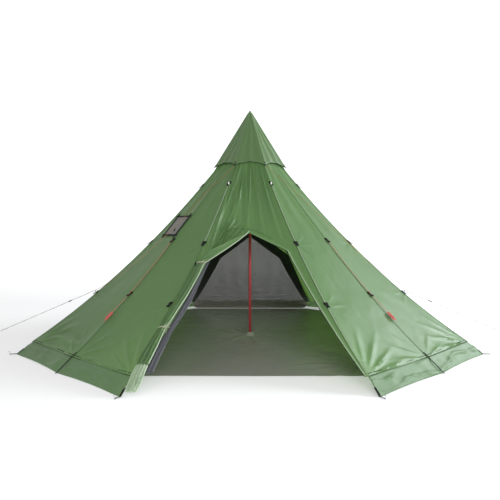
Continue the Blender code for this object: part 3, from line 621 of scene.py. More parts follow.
def add_camera():
    data = bpy.data.cameras.new("camera")
    data.lens = CAMERA_LENS
    data.sensor_width = 36.0
    data.shift_y = HORIZON_SHIFT
    made = bpy.data.objects.new("camera", data)
    made.location = (0, -CAMERA_DISTANCE, CAMERA_HEIGHT)
    made.rotation_euler = (math.pi / 2, 0, 0)
    bpy.context.collection.objects.link(made)
    bpy.context.scene.camera = made


# ---------------------------------------------------------------- cords

CORD = 0.003
GUY_CORD = 0.0042
CAP_R = 0.415
CAP_Z = 1.843
HANK_R = 1.830
GUY_PEG_R = 3.050
CORNER_PEG_R = 2.430
TAB_LOOP = 0.014

CORD_SIDES = {
    "right": dict(face="front_right", mirror=1,
                  stops=((0.520, -0.35, 0.034), (0.700, 0.20, 0.034), (1.010, 0.58, 0.036),
                         (1.320, 0.84, 0.034))),
    "left": dict(face="front_left", mirror=-1,
                 stops=((0.520, -0.40, 0.024), (0.640, 0.05, 0.020), (0.820, 0.22, 0.020),
                        (1.060, 0.46, 0.016), (1.400, 0.74, 0.020))),
}


def add_cord(name, path, look, diameter=CORD, **facts):
    parts = Parts()
    tube(parts, path, diameter / 2, 10)
    made = parts.build(name, LOOKS[look])
    return made


def coil_round(parts, centre, axis, radius, turns, pitch, thick):
    """Close turns of cord round an axis, as in a knot or a wrapped tie."""
    axis = unit(axis)
    guess = np.array([0.0, 0.0, 1.0]) if abs(axis[2]) < 0.8 else np.array([1.0, 0.0, 0.0])
    a = unit(np.cross(axis, guess))
    b = np.cross(axis, a)
    count = int(turns * 14) + 1
    turn = np.linspace(0, 2 * math.pi * turns, count)
    along = (turn / (2 * math.pi) - turns / 2) * pitch
    path = (np.asarray(centre) + np.outer(along, axis) + np.outer(np.cos(turn) * radius, a)
            + np.outer(np.sin(turn) * radius, b))
    tube(parts, path, thick, 8)


def bow_loop(parts, knot, reach, wide, count, thick):
    """One loop of a bow, out to the end of reach and back to its knot."""
    bow = [knot, knot + reach * 0.5 + wide, knot + reach, knot + reach * 0.5 - wide, knot]
    tube(parts, smooth_route(bow, count), thick, 8)


def hank_turns(centre, along, sideways, normal):
    """The folded tail: nested turns in two layers, from the top end."""
    points = []
    for turn in range(6):
        radius = (0.0095, 0.0128, 0.0161)[turn % 3 if turn < 3 else 2 - turn % 3]
        level = -0.0030 if turn < 3 else 0.0030
        for step in range(24):
            part = step / 24
            angle = 2 * math.pi * part
            shift = 0.030 * (1 if math.cos(angle) > 0 else -1)
            run = shift + radius * math.cos(angle)
            rise = level + 0.0006 * math.sin(angle * 2 + turn)
            points.append(centre + along * (-run) + sideways * (radius * math.sin(angle)) + normal * rise)
    return points


def add_side_cords(name, side):
    face, mirror = side["face"], side["mirror"]
    side_ridge = GUY_RIDGES[name]
    start = np.array(ridge_spot(FRONT_RIDGES[name], CAP_R))
    start[2] = CAP_Z - 0.010
    start += unit(start * np.array([1, 1, 0])) * 0.008
    end = np.array(ridge_spot(side_ridge, LOWER_TAB_R - 0.015)) + np.array([0, -0.006, 0.022])
    route = [start]
    route += [surface(face, r, across * mirror, lift) for r, across, lift in side["stops"]]
    route.append(end)
    cap_cord = add_cord(f"cap_cord_{name}", smooth_route(route, 56), "cord_orange",
                        far_end="object", lay="taut")
    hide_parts(f"cap_cord_{name}")

    start = np.array(ridge_spot(side_ridge, CAP_R + 0.010))
    start[2] = CAP_Z - 0.010
    end = np.array(ridge_spot(side_ridge, UPPER_TAB_R)) + np.array([0, 0, 0.012])
    stay = add_cord(f"cap_stay_{name}", np.linspace(start, end, 20), "cord_stay",
                    far_end="object", lay="taut")
    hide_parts(f"cap_stay_{name}")

    stops = ((SEAM_MIDDLE_TAB_R, 0.010), (1.350, 0.007), (SEAM_LOWER_TAB_R, 0.010), (1.752, 0.018))
    seam = smooth_route([surface(face, r, 0.0, lift) for r, lift in stops], 40)
    _, sideways = face_axes(face)
    normal = normal_at(face, HANK_R)
    along = unit(np.cross(sideways, normal))
    if along[2] > 0:
        along = -along
    centre = surface(face, HANK_R, 0.0, 0.020)
    turns = hank_turns(centre, along, sideways, normal)
    path = np.vstack([seam[:-1], smooth_route([seam[-2], seam[-1], turns[0]], 5)[2:-1], turns])
    panel = add_cord(f"panel_cord_{name}", path, "cord_red", far_end="knot", lay="taut",
                     with_pieces=[add_hank_tie(name, centre, along, sideways, normal)])
    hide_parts(f"panel_cord_{name}", f"cord_hank_{name}")


def add_hank_tie(name, centre, along, sideways, normal):
    """Three close wraps round the middle of the hank, and the free end's knot."""
    parts = Parts()
    turn = np.linspace(0, 2 * math.pi * 4, 80)
    path = (centre + np.outer((turn / turn[-1] - 0.5) * 0.014, along)
            + np.outer(np.cos(turn) * 0.0195, sideways) + np.outer(np.sin(turn) * 0.0088, normal))
    tube(parts, path, 0.0014, 8)
    foot = centre + along * 0.050
    tail = [centre + along * 0.008 + normal * 0.0095, centre + along * 0.030 + normal * 0.0090,
            foot + sideways * 0.006 + normal * 0.004,
            foot + along * 0.012 + sideways * 0.003 + normal * -0.002]
    tube(parts, smooth_route(tail, 20), 0.0014, 8)
    coil_round(parts, tail[-1], along, 0.0028, 2.0, 0.0028, 0.0014)
    tie = parts.build(f"hank_tie_{name}", LOOKS["cord_red"])
    return tie


def guy_ends(angle_degrees):
    away, _ = heading(angle_degrees)
    start = np.array(ridge_spot(angle_degrees, LOWER_TAB_R)) + np.array([0, 0, TAB_LOOP * 1.9])
    start = start + away * 0.012
    end = away * (GUY_PEG_R - 0.003 - CORD / 2 - 0.0003) + np.array([0, 0, 0.012])
    return start, end


def add_guy(name, angle_degrees):
    start, end = guy_ends(angle_degrees)
    away = unit(end - start)
    knots = Parts()
    coil_round(knots, start + away * 0.022, away, 0.0030, 3.0, 0.0030, 0.0014)
    coil_round(knots, end - away * 0.060, away, 0.0030, 3.0, 0.0030, 0.0014)
    radial = np.array([away[0], away[1], 0])
    radial = unit(radial)
    side = np.array([-radial[1], radial[0], 0])
    turn = np.linspace(-0.80 * math.pi, 0.80 * math.pi, 24)
    hook = radial * GUY_PEG_R + np.array([0, 0, 0.012])
    loop = hook + np.outer(np.cos(turn) * 0.0052, radial) + np.outer(np.sin(turn) * 0.0052, side)
    tail = end - away * 0.060
    tube(knots, smooth_route([tail + side * -0.002, (tail + loop[0]) / 2 + side * -0.003] + list(loop[::4])
                             + [(tail + loop[-1]) / 2 + side * 0.003, tail + side * 0.002], 60), 0.0012, 8)
    knots = knots.build(f"guy_knots_{name}", LOOKS["cord_pale"])
    wear_cad(f"guy_tensioner_{name}", "plastic")
    # The right guyline takes the darker copy of the guy cord's colours: painted shade.
    look = "cord_guy_shaded" if name == "right" else "cord_pale"
    guy = add_cord(f"guyline_{name}", np.linspace(start, end, 48), look, GUY_CORD,
                   far_end="object", lay="taut",
                   with_pieces=[bpy.data.objects[f"guy_tensioner_{name}"], knots])
    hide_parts(f"guyline_{name}")


# ---------------------------------------------------------------- fly

FLY_ROWS = 200
HALF_COLUMNS = {"front": 36, "front_left": 36, "front_right": 36}
FLAP_TOP = (1.300, -0.405)


def door_of(face):
    return {"front": FRONT_DOOR, "rear": REAR_DOOR}.get(face)


def fan_folds(r, side, at_r, at_side, reach, folds, phase=0.0):
    """Tension folds that spread from one point of a face, strongest a little way out."""
    dr = (r - at_r) * 1.45
    ds = side - at_side
    far = np.hypot(dr, ds)
    angle = np.arctan2(ds, dr)
    return np.exp(-((far - reach * 0.50) / (reach * 0.45)) ** 2) * crest(angle * folds + phase)


def gathered_fan(r, side):
    """Pleats that run from the upper door tie up to the arched flap over the door, and on to the tab."""
    rise = (FLAP_TOP[0] - r) * 1.1
    out = side - FLAP_TOP[1]
    far = np.hypot(rise, out)
    angle = np.degrees(np.arctan2(rise, out))
    pleats = 0.0180 * smooth_step(far, 0.03, 0.14) * (1 - smooth_step(far, 0.44, 0.56))
    pleats = pleats * smooth_step(angle, 34, 42) * (1 - smooth_step(angle, 66, 74)) * crest(angle * 0.62)
    pulls = 0.0120 * smooth_step(far, 0.08, 0.25) * (1 - smooth_step(far, 0.55, 0.95))
    pulls = pulls * smooth_step(angle, 62, 72) * (1 - smooth_step(angle, 92, 104)) * crest(angle * 0.33)
    return pleats + pulls


def crest(turn):
    """Narrow raised folds with wide hollows between them, from -1 to 1, one for each pi of turn."""
    return 2.0 * np.exp(-(np.sin(turn) / 0.42) ** 2) - 1.0


# Heights of the fly's billows, creases and crinkles, and of the folds below the cap on each kind of face
BILLOW, CREASE, CRINKLE = 0.0055, 0.0028, 0.0012
FRONT_FOLD, REAR_FOLD, OTHER_FOLD = 0.0105, 0.0050, 0.0028
CORNER_PULL, FRONT_CORNER_PULL, TAB_PULL, STRAP_PULL, SIDE_CREASE = 0.0100, 0.0050, 0.0030, 0.0050, 0.0150


def fly_relief(face, r, across, points):
    """How far the cloth stands off its smooth shape: billows, folds and tension lines."""
    free = 1.0 - np.abs(across) ** 8
    side = across * half_width(r)
    diagonal = face in DIAGONALS
    if diagonal:
        free = free * (smooth_step(np.abs(across), 0.0, 0.22) * 0.9 + 0.1)
    below_cap = smooth_step(r, 0.42, 0.70)
    relief = BILLOW * ripple(points, 0.48, 1) * below_cap
    relief += CREASE * ripple(points * np.array([1.0, 1.0, 0.35]), 0.12, 2)
    relief += CRINKLE * ripple(points * np.array([1.0, 1.0, 0.4]), 0.040, 3)
    drift = 0.35 * ripple(points * np.array([0.6, 0.6, 0.5]), 0.5, 4)
    upper = 1.0 - smooth_step(r, 0.75, 1.25)
    if face == "front":
        wave = crest((across + drift) * 8.5) + 0.55 * np.sin((across - drift) * 31.0 + 1.3)
        height = FRONT_FOLD * (0.12 + 0.88 * (1 - smooth_step(r, 0.60, 1.15)))
        relief += height * smooth_step(r, 0.30, 0.50) * wave
    elif face == "rear":
        wave = np.sin((across + drift) * 13.0 + 0.8)
        relief += REAR_FOLD * upper * smooth_step(r, 0.30, 0.55) * wave
    else:
        wave = np.sin((across + drift) * 12.0 + 0.7)
        relief += OTHER_FOLD * upper * wave
    hem = half_width(HEM_R)
    if face == "front":
        relief += gathered_fan(r, side)
    for end in (-1, 1):
        ridge_hem = fan_folds(r, side, HEM_R, end * hem, 0.52, 10.0, 0.9 * end)
        relief += (CORNER_PULL if diagonal else FRONT_CORNER_PULL) * ridge_hem
        for tab_r in (MIDDLE_TAB_R, LOWER_TAB_R):
            relief += TAB_PULL * fan_folds(r, side, tab_r, end * half_width(tab_r), 0.20, 4.0, 0.5)
    if diagonal:
        relief += STRAP_PULL * fan_folds(r, side, HEM_R, 0.0, 0.40, 7.0)
    if face == "front_left":
        near_hem = SIDE_CREASE * np.exp(-((r - 2.10) / 0.08) ** 2) * smooth_step(side, -0.85, -0.55)
        relief += near_hem * (1 - smooth_step(side, -0.15, 0.0)) * np.sin((r - 2.10) * 42.0)
        jack = smooth_step(r, 0.78, 0.84) * (1 - smooth_step(r, 1.05, 1.11))
        jack = jack * smooth_step(side, -0.34, -0.29) * (1 - smooth_step(side, 0.02, 0.06))
        relief = relief * (1 - jack) - 0.001 * jack
    if face == "front":
        under_flap = smooth_step(r, 1.22, 1.30) * (1 - smooth_step(side, -0.25, -0.10))
        relief = relief * (1 - 0.8 * under_flap)
    if door_of(face):
        apex = door_of(face)[0]
        to_edge = np.maximum(np.abs(side) - door_half(r, door_of(face)), (apex - r) * 1.2)
        relief = relief * (0.2 + 0.8 * smooth_step(to_edge, 0.0, 0.06))
    return relief * free - 0.0005


def half_face(face, side):
    """One half of a face as a grid of points with its UV: distance to a seam, and distance down."""
    door = door_of(face)
    radii = np.linspace(FLY_TOP_R, HEM_R, FLY_ROWS)
    for kept in (door[:2] if door else ()) + (KINK_R,):
        radii[np.argmin(np.abs(radii - kept))] = kept
    steps = np.linspace(0, 1, HALF_COLUMNS.get(face, 16) + 1)
    edge = door_half(radii, door) / half_width(radii) if door else np.zeros_like(radii)
    across = side * (1 - steps[None, :] * (1 - edge[:, None]))
    r = np.broadcast_to(radii[:, None], across.shape)
    points = surface(face, r, across)
    points = points + slope_normal(face, r) * fly_relief(face, r, across, points)[..., None]
    down = run_lengths(np.column_stack([radii, ridge_height(radii), 0 * radii]))
    from_ridge = (1 - np.abs(across)) * half_width(r)
    near = np.minimum(from_ridge, np.abs(across) * half_width(r)) if face in DIAGONALS else from_ridge
    return points, np.stack([near, np.broadcast_to(down[:, None], r.shape)], -1)


def add_fly():
    parts = Parts()
    for face in FACES:
        for side in (-1, 1):
            parts.grid(*half_face(face, side))
    fly = parts.build("fly", LOOKS["fly"], slot="fly_fabric", weld=0.0002,
                      replaces=[f"fly_{face}" for face in FACES])
    thicken(fly)



SEAM_WIDTH = 0.012
SEAM_HIGH = 0.0016
SEAM_EDGE = 0.0008


def seam_band(parts, sections):
    """A felled seam: sections are functions of a lateral offset that give points along the seam."""
    half = SEAM_WIDTH / 2
    offsets = (-half, -half + 0.001, 0.0, half - 0.001, half)
    lifts = (-SEAM_EDGE, SEAM_HIGH, SEAM_HIGH, SEAM_HIGH, -SEAM_EDGE)
    rows = np.stack([sections(offset, lift) for offset, lift in zip(offsets, lifts)], 1)
    down = run_lengths(rows[:, 2])
    uv = paired(np.abs(np.array(offsets))[None, :] + 0.0005, down[:, None])
    parts.grid(rows, uv)


def ridge_sections(first, second, radii):
    """Sections of the ridge between two neighbouring faces."""
    def section(offset, lift):
        if offset <= 0:
            return surface(first, radii, 1 + offset / half_width(radii), lift)
        return surface(second, radii, -1 + offset / half_width(radii), lift)
    return section


def middle_sections(face, radii):
    return lambda offset, lift: surface(face, radii, offset / half_width(radii), lift)


def add_pale_lines():
    """The thin pale lines on the front ridges, which are painted highlights of the ridges, the pale piping
    down the right door edge, and the arched flap edge.
    """
    parts = Parts()
    # Pale tubes down the front ridges, only as far as their highlight runs: painted highlight.
    for ridge, low in (("right", HEM_R - 0.01), ("left", MIDDLE_TAB_R)):
        radii = np.linspace(0.585, low, 80)
        path = np.array([ridge_spot(FRONT_RIDGES[ridge], r, 0.0026) for r in radii])
        tube(parts, path, 0.0016, 8)
    _, eave, half = FRONT_DOOR
    stations = [(eave, half + 0.004), (HEM_R - 0.005, DOOR_FOOT_HALF + 0.004)]
    tube(parts, face_route("front", stations, 0.0030), 0.0016, 8)
    parts.build("ridge_highlight_lines", LOOKS["piping"], slot="tie_webbing")
    flap = Parts()
    arch = [(1.090, -0.300), (1.000, -0.240), (0.968, -0.140),
            (0.972, -0.030), (0.990, 0.060), (1.060, 0.210)]
    path = smooth_route([surface("front", r, side / half_width(r)) for r, side in arch], 60)
    normal = normal_at("front", 1.0)
    tangents = unit(np.gradient(path, axis=0))
    ribbon(flap, path + normal * 0.0075, np.cross(tangents, normal), 0.010, 0.0024)
    flap.build("door_arch_edge", LOOKS["fly"], slot="fly_fabric")


def add_seams():
    parts = Parts()
    names = list(FACES)
    radii = np.linspace(KINK_R - 0.10, HEM_R, 140)
    for first, second in zip(names, names[1:] + names[:1]):
        seam_band(parts, ridge_sections(first, second, radii))
    for face in DIAGONALS:
        seam_band(parts, middle_sections(face, np.linspace(KINK_R + 0.05, HEM_R, 120)))
    seams = parts.build("fly_seams", LOOKS["fly"], slot="fly_fabric", fix=False)
    thicken(seams, 0.0008)
    return seams


# ---------------------------------------------------------------- skirt and hem


def skirt_faces():
    return [face for face in FACES if face != "front"]


def add_skirt():
    parts = Parts()
    rows, columns = 15, 73
    part = np.linspace(0, 1, rows)[:, None]
    across = np.linspace(-1, 1, columns)[None, :]
    across = np.broadcast_to(across, (rows, columns))
    hem_r = np.full_like(across, HEM_R)
    for face in skirt_faces():
        ends = np.abs(across) ** 10
        scallop = 0.010 * np.abs(np.sin(across * math.pi * (1 if face in DIAGONALS else 0.5)))
        foot = SKIRT_R - scallop * (1 - ends)
        r = HEM_R - 0.004 + (foot - HEM_R + 0.004) * part
        base = surface(face, r, across)
        top = surface(face, hem_r, across)
        relief = fly_relief(face, hem_r, across, top) * (1 - part) ** 2
        swell = 4 * part * (1 - part)
        along = across * half_width(HEM_R)
        wander = ripple(base, 0.30, 11)
        wave = 0.0085 * crest(part * 4.5 + along * 1.5 + 2.0 * wander) + 0.012 * ripple(base, 0.11, 12)
        wave += 0.006 * np.sin(along * 26.0 + 4.0 * wander) + 0.003 * ripple(base, 0.035, 13)
        lift = relief + swell * wave * (1 - 0.7 * ends) + 0.004 * swell - 0.0015 * (1 - part)
        points = base + slope_normal(face, r) * np.maximum(lift, -0.0035)[..., None]
        points[..., 2] = np.maximum(points[..., 2], 0.0016)
        uv = np.stack([along, part * 0.18 + 0 * along], -1)
        parts.grid(points, uv)
    skirt = parts.build("skirt", LOOKS["skirt"], slot="skirt_fabric", weld=0.0004,
                        replaces=[f"skirt_{face}" for face in skirt_faces()])
    thicken(skirt)


def add_hem():
    """The fly's doubled hem with its two dark rows of stitching, and the straps over the skirt."""
    parts = Parts()
    for face in skirt_faces():
        across = np.linspace(-1, 1, 73)
        hem_r = np.full_like(across, HEM_R)
        relief = fly_relief(face, hem_r, across, surface(face, hem_r, across))
        for shift in (-0.022, -0.004):
            path = surface(face, hem_r + shift, across, relief + 0.0016)
            ribbon(parts, path, slope_normal(face, hem_r), 0.0016, 0.0040)
    for face in DIAGONALS:
        path = face_route(face, [(HEM_R - 0.05, 0.0), (HEM_R, 0.0), (SKIRT_R + 0.01, 0.0)], 0.0)
        path = path + normal_at(face, HEM_R) * np.linspace(0.004, 0.012, len(path))[:, None]
        ribbon(parts, path, face_axes(face)[1], 0.014, 0.0016)
    parts.build("hem_trim", LOOKS["webbing"], slot="webbing")


# ---------------------------------------------------------------- rain cap

CAP_TOP_Z = 2.500
CAP_ARCH = 0.060


def cap_surface(ring, place):
    """Points of the cap: ring from 0 at the top to 1 at the hem, place from 0 to 8 round it."""
    ring, place = np.broadcast_arrays(ring, place)
    side = np.floor(place) % 8
    part = place - np.floor(place)
    start = (2 * side + 1) * HALF_SIDE
    end = start + 2 * HALF_SIDE
    arch = 1 - CAP_ARCH * 4 * part * (1 - part)
    reach = CAP_R * ring * arch
    x = (np.cos(start) * (1 - part) + np.cos(end) * part) * reach
    y = (np.sin(start) * (1 - part) + np.sin(end) * part) * reach
    return np.stack([x, y, CAP_TOP_Z - (CAP_TOP_Z - CAP_Z) * ring * arch], -1), part


def add_cap():
    parts = Parts()
    rings = np.linspace(0.004, 1, 46)[:, None]
    place = np.linspace(0, 8, 8 * 18, endpoint=False)[None, :]
    points, part = cap_surface(rings, place)
    outward = unit(points * np.array([1, 1, 0])) * 0.85 + np.array([0, 0, 0.53])
    loose = smooth_step(np.broadcast_to(rings, part.shape), 0.12, 0.5)
    between = (4 * part * (1 - part)) ** 0.8
    turn = np.broadcast_to(place, part.shape) * math.pi / 4
    lift = 0.0050 * np.sin(turn * 22 + 2.5 * ripple(points, 0.35, 21)) + 0.0045 * ripple(points, 0.13, 22)
    lift += 0.0015 * ripple(points, 0.04, 23)
    points = points + outward * (lift * loose * between)[..., None]
    round_hem = np.broadcast_to(rings, part.shape)
    width = CAP_R * round_hem * 2 * math.sin(HALF_SIDE)
    uv = np.stack([np.minimum(part, 1 - part) * width, round_hem * 0.777], -1)
    parts.grid(points, uv, wrap=True)
    parts.faces.append(tuple(range(8 * 18)))
    cap = parts.build("rain_cap", LOOKS["cap"], slot="cap_fabric", replaces=["rain_cap"])
    thicken(cap)

    trim = Parts()
    hem = points[-1] + np.array([0, 0, -0.0015])
    tube(trim, hem, 0.0042, 8, closed=True)
    for k in range(8):
        corner = hem[k * 18]
        outward_k = unit(corner * np.array([1, 1, 0]))
        slope = unit(outward_k * 0.54 + np.array([0, 0, -0.84]))
        path = corner + np.outer(np.linspace(-0.045, 0.014, 8), slope) + outward_k * 0.004
        ribbon(trim, path, np.cross(outward_k, np.array([0, 0, 1])), 0.016, 0.0016)
    trim.build("cap_trim", LOOKS["binding"], slot="webbing")

    felled = Parts()
    for k in range(8):
        ring = np.linspace(0.06, 0.99, 50)
        rows = []
        for offset, high in ((-0.005, -0.0008), (-0.004, 0.0014), (0.0, 0.0020),
                             (0.004, 0.0014), (0.005, -0.0008)):
            width_here = CAP_R * ring * 2 * math.sin(HALF_SIDE)
            spots, _ = cap_surface(ring, (k + offset / np.maximum(width_here, 0.03)) % 8)
            away = unit(spots * np.array([1, 1, 0])) * 0.85 + np.array([0, 0, 0.53])
            rows.append(spots + away * high)
        rows = np.stack(rows, 1)
        down = run_lengths(rows[:, 2])
        felled.grid(rows, paired(np.array([5, 4, 0, 4, 5])[None, :] * 0.001,
                                                       down[:, None]))
    seams = felled.build("cap_seams", LOOKS["cap"], slot="cap_fabric", fix=False)
    thicken(seams, 0.0008)


# ---------------------------------------------------------------- gathered door

BUNDLE_LIFT = 0.008
FABRIC = 0.004
UPPER_TIE_R = 1.300
LOWER_TIE_R = 1.860
DOOR_FLAP = np.array((
    (1.290, -0.432, 0.032, 0.018), (1.310, -0.441, 0.032, 0.018), (1.380, -0.472, 0.040, 0.022),
    (1.580, -0.560, 0.045, 0.026), (1.800, -0.665, 0.036, 0.022), (1.850, -0.686, 0.028, 0.018),
    (1.870, -0.694, 0.028, 0.018), (1.930, -0.716, 0.036, 0.022), (2.060, -0.757, 0.046, 0.026),
    (2.160, -0.785, 0.046, 0.026)))
SKIRT_GATHER = np.array((
    (2.165, -0.788, 0.045, 0.022), (2.240, -0.808, 0.050, 0.020), (2.300, -0.822, 0.050, 0.016),
    (2.350, -0.838, 0.040, 0.012)))
DOOR_MESH = np.array((
    (1.230, -0.370, 0.020, 0.008), (1.340, -0.425, 0.028, 0.012), (1.600, -0.525, 0.036, 0.016),
    (1.860, -0.640, 0.024, 0.010), (2.050, -0.715, 0.040, 0.016), (2.190, -0.755, 0.044, 0.016)))


def rows_at(table, r):
    return [np.interp(r, table[:, 0], table[:, k]) for k in (1, 2, 3)]


def pleated(table, radii, pleats, columns, seed, inside=False, outline=3):
    """Gathered cloth whose outline follows the table, as a grid of points."""
    side, half, thick = (value[:, None] for value in rows_at(table, radii))
    s = np.linspace(0, 1, columns)[None, :]
    r = np.broadcast_to(radii[:, None], (len(radii), columns))
    seeds = paired(r * 2.2, s * 1.4, 0 * s)
    wander = ripple(seeds, 0.55, seed)
    uneven = 1.0 + 0.22 * ripple(seeds * np.array([1, 6, 1]), 0.5, seed + 1)
    oval = np.sqrt(np.maximum(0.0, 1 - (2 * s - 1) ** 2)) * 0.80 + 0.20
    lumps = 0.70 + 0.30 * np.cos(2 * math.pi * (outline * s + 0.35 * wander))
    wave = np.sin(2 * math.pi * (pleats * s + 0.8 * wander))
    wave = np.sign(wave) * np.abs(wave) ** 0.8
    across = side + half * (0.93 * (2 * s - 1) + 0.05 * wander)
    high = thick * wave * oval * lumps * np.minimum(uneven, 1.15) * 0.93
    middle = -(FABRIC + BUNDLE_LIFT + thick) if inside else BUNDLE_LIFT + thick
    points = surface("front", r, across / half_width(r), middle + high)
    return points


def sheet_uv(points):
    across = np.concatenate([np.zeros((points.shape[0], 1)),
                             np.cumsum(np.linalg.norm(np.diff(points, axis=1), axis=2), axis=1)], 1)
    middle = points.shape[1] // 2
    down = run_lengths(points[:, middle])
    return np.stack([across + 0.05, np.broadcast_to(down[:, None], across.shape)], -1)


def add_door_flap():
    pleats, columns = 24, 24 * 9 + 1
    lower = pleated(DOOR_FLAP, np.linspace(UPPER_TIE_R, 2.160, 110), pleats, columns, 31)
    s = np.linspace(0, 1, columns)
    top_r = FRONT_DOOR[1] + (FRONT_DOOR[0] - FRONT_DOOR[1]) * s - 0.012
    top_side = -FRONT_DOOR[2] * (1 - s) - 0.006
    fan = []
    first = lower[0]
    for t in np.linspace(0, 1, 30, endpoint=False):
        ease = t ** 1.15
        r = top_r + (UPPER_TIE_R - top_r) * ease
        end_side = -0.4365 + 0.032 * 0.93 * (2 * s - 1)
        side = top_side + (end_side - top_side) * ease
        sag = 0.018 * 4 * t * (1 - t) * s
        folds = (0.004 + 0.010 * t) * np.sin(2 * math.pi * (5 * s + 0.15 * math.sin(3 * t)))
        folds *= smooth_step(np.minimum(s, 1 - s), 0.0, 0.06)
        fine = 0.0015 * np.sin(2 * math.pi * (12 * s + t))
        lift = (0.0045 + (BUNDLE_LIFT + 0.012) * smooth_step(t, 0.0, 0.7)
                + folds * smooth_step(t, 0.0, 0.25) + fine)
        row = surface("front", r + sag, side / half_width(r), lift)
        meet = smooth_step(np.array(t), 0.55, 1.0)
        fan.append(row * (1 - meet) + first * meet)
    points = np.concatenate([np.array(fan), lower])
    parts = Parts()
    parts.grid(points, sheet_uv(points))
    flap = parts.build("door_flap", LOOKS["door"], slot="door_fabric", replaces=["door_flap"])
    thicken(flap, 0.0007, 0.0)

    edge = points[:, -1]
    smooth_edge = smooth_route(list(edge[::4]) + [edge[-1]], 160)
    piping = Parts()
    normal = normal_at("front", 1.5)
    tube(piping, smooth_edge + normal * 0.002, 0.0034, 8)
    piping = piping.build("door_piping", LOOKS["piping"], slot="tie_webbing")


def add_door_mesh():
    parts = Parts()
    points = pleated(DOOR_MESH, np.linspace(1.235, 2.185, 120), 34, 34 * 6 + 1, 41, inside=True, outline=2)
    parts.grid(points, sheet_uv(points))
    mesh = parts.build("door_mesh", LOOKS["door_net"], slot="mesh_fabric", replaces=["door_mesh"])
    thicken(mesh, 0.0004, 0.0)


def add_skirt_gather():
    parts = Parts()
    points = pleated(SKIRT_GATHER, np.linspace(2.167, 2.348, 40), 30, 30 * 8 + 1, 51, outline=4)
    points[..., 2] = np.maximum(points[..., 2], 0.002)
    parts.grid(points, sheet_uv(points))
    # Its pale colour is painted light; the cloth is the same as the door's.
    gather = parts.build("skirt_door_gather", LOOKS["gather"], slot="door_fabric",
                         replaces=["skirt_door_gather"])
    thicken(gather, 0.0007, 0.0)


def bundle_oval(r, growth):
    """A closed line round the gathered door at radius r."""
    side, half, thick = rows_at(DOOR_FLAP, r)
    turn = full_turn(40)
    _, sideways = face_axes("front")
    normal = normal_at("front", r)
    centre = surface("front", r, side / half_width(r), BUNDLE_LIFT + thick)
    return (centre + np.outer(np.cos(turn) * (half + growth), sideways)
            + np.outer(np.sin(turn) * (thick + growth), normal)), centre, normal, sideways, half, thick


def add_ties():
    for name, r, tail in (("door_tie_upper", UPPER_TIE_R, 0.035), ("door_tie_lower", LOWER_TIE_R, 0.062)):
        parts = Parts()
        oval, centre, normal, sideways, half, thick = bundle_oval(r, 0.0030)
        down = unit(surface("front", r + 0.05, -0.1, 0.0) - surface("front", r - 0.05, -0.1, 0.0))
        loop = np.vstack([oval, oval[:1]])
        ribbon(parts, loop, down, 0.009, 0.0015)
        knot = centre + sideways * (half * 0.55) + normal * (thick + 0.006)
        coil_round(parts, knot, sideways, 0.0050, 2.5, 0.0034, 0.0020)
        for turn, size in ((-0.5, tail), (0.35, tail * 0.85)):
            way = unit(sideways * math.cos(turn) + down * math.sin(turn) * 0.8 + normal * 0.10)
            wide = unit(np.cross(way, normal)) * 0.010
            bow_loop(parts, knot, way * size, wide, 40, 0.0016)
        for turn in (-0.9, 0.9):
            way = unit(sideways * math.cos(turn) * 0.5 + down * 0.9 + normal * 0.02)
            side_way = sideways * 0.014 * turn
            bow = [knot, knot + way * tail * 0.5 + side_way,
                   knot + way * tail + side_way * 0.6 - normal * 0.008]
            tube(parts, smooth_route(bow, 20), 0.0016, 8)
        parts.build(name, LOOKS["tie"], slot="tie_webbing", replaces=[name])


# ---------------------------------------------------------------- door edges, rear door


def door_stations(door, sign, inset=0.0, top=True):
    apex, eave, half = door
    stations = [(apex + 0.6 * inset, sign * 0.001)] if top else []
    return stations + [(eave + 0.3 * inset, sign * (half - inset)),
                       (HEM_R - 0.004, sign * (DOOR_FOOT_HALF - inset))]


def add_door_edges():
    """Zip tapes and their coils along the free edges, and the bound edge outside them."""
    tape = Parts()
    coil = Parts()
    bound = Parts()
    for face, door, signs in (("front", FRONT_DOOR, (1, -1)), ("rear", REAR_DOOR, (1, -1))):
        for sign in signs:
            face_band(tape, face, door_stations(door, sign, -0.007), 0.020, 0.0012, -0.0035)
            if (face, sign) != ("front", -1):
                tube(coil, face_route(face, door_stations(door, sign, 0.0035), -0.0030), 0.0018, 8)
            edge = door_stations(door, sign, -0.011, face == "rear" or sign > 0)
            face_band(bound, face, edge, 0.016, 0.0012, 0.0022)
    tape.build("zip_tapes", LOOKS["webbing"], slot="webbing")
    coil.build("zip_coils", LOOKS["plastic"], slot="lock_plastic")
    bound.build("door_bindings", LOOKS["door"], slot="fly_fabric")


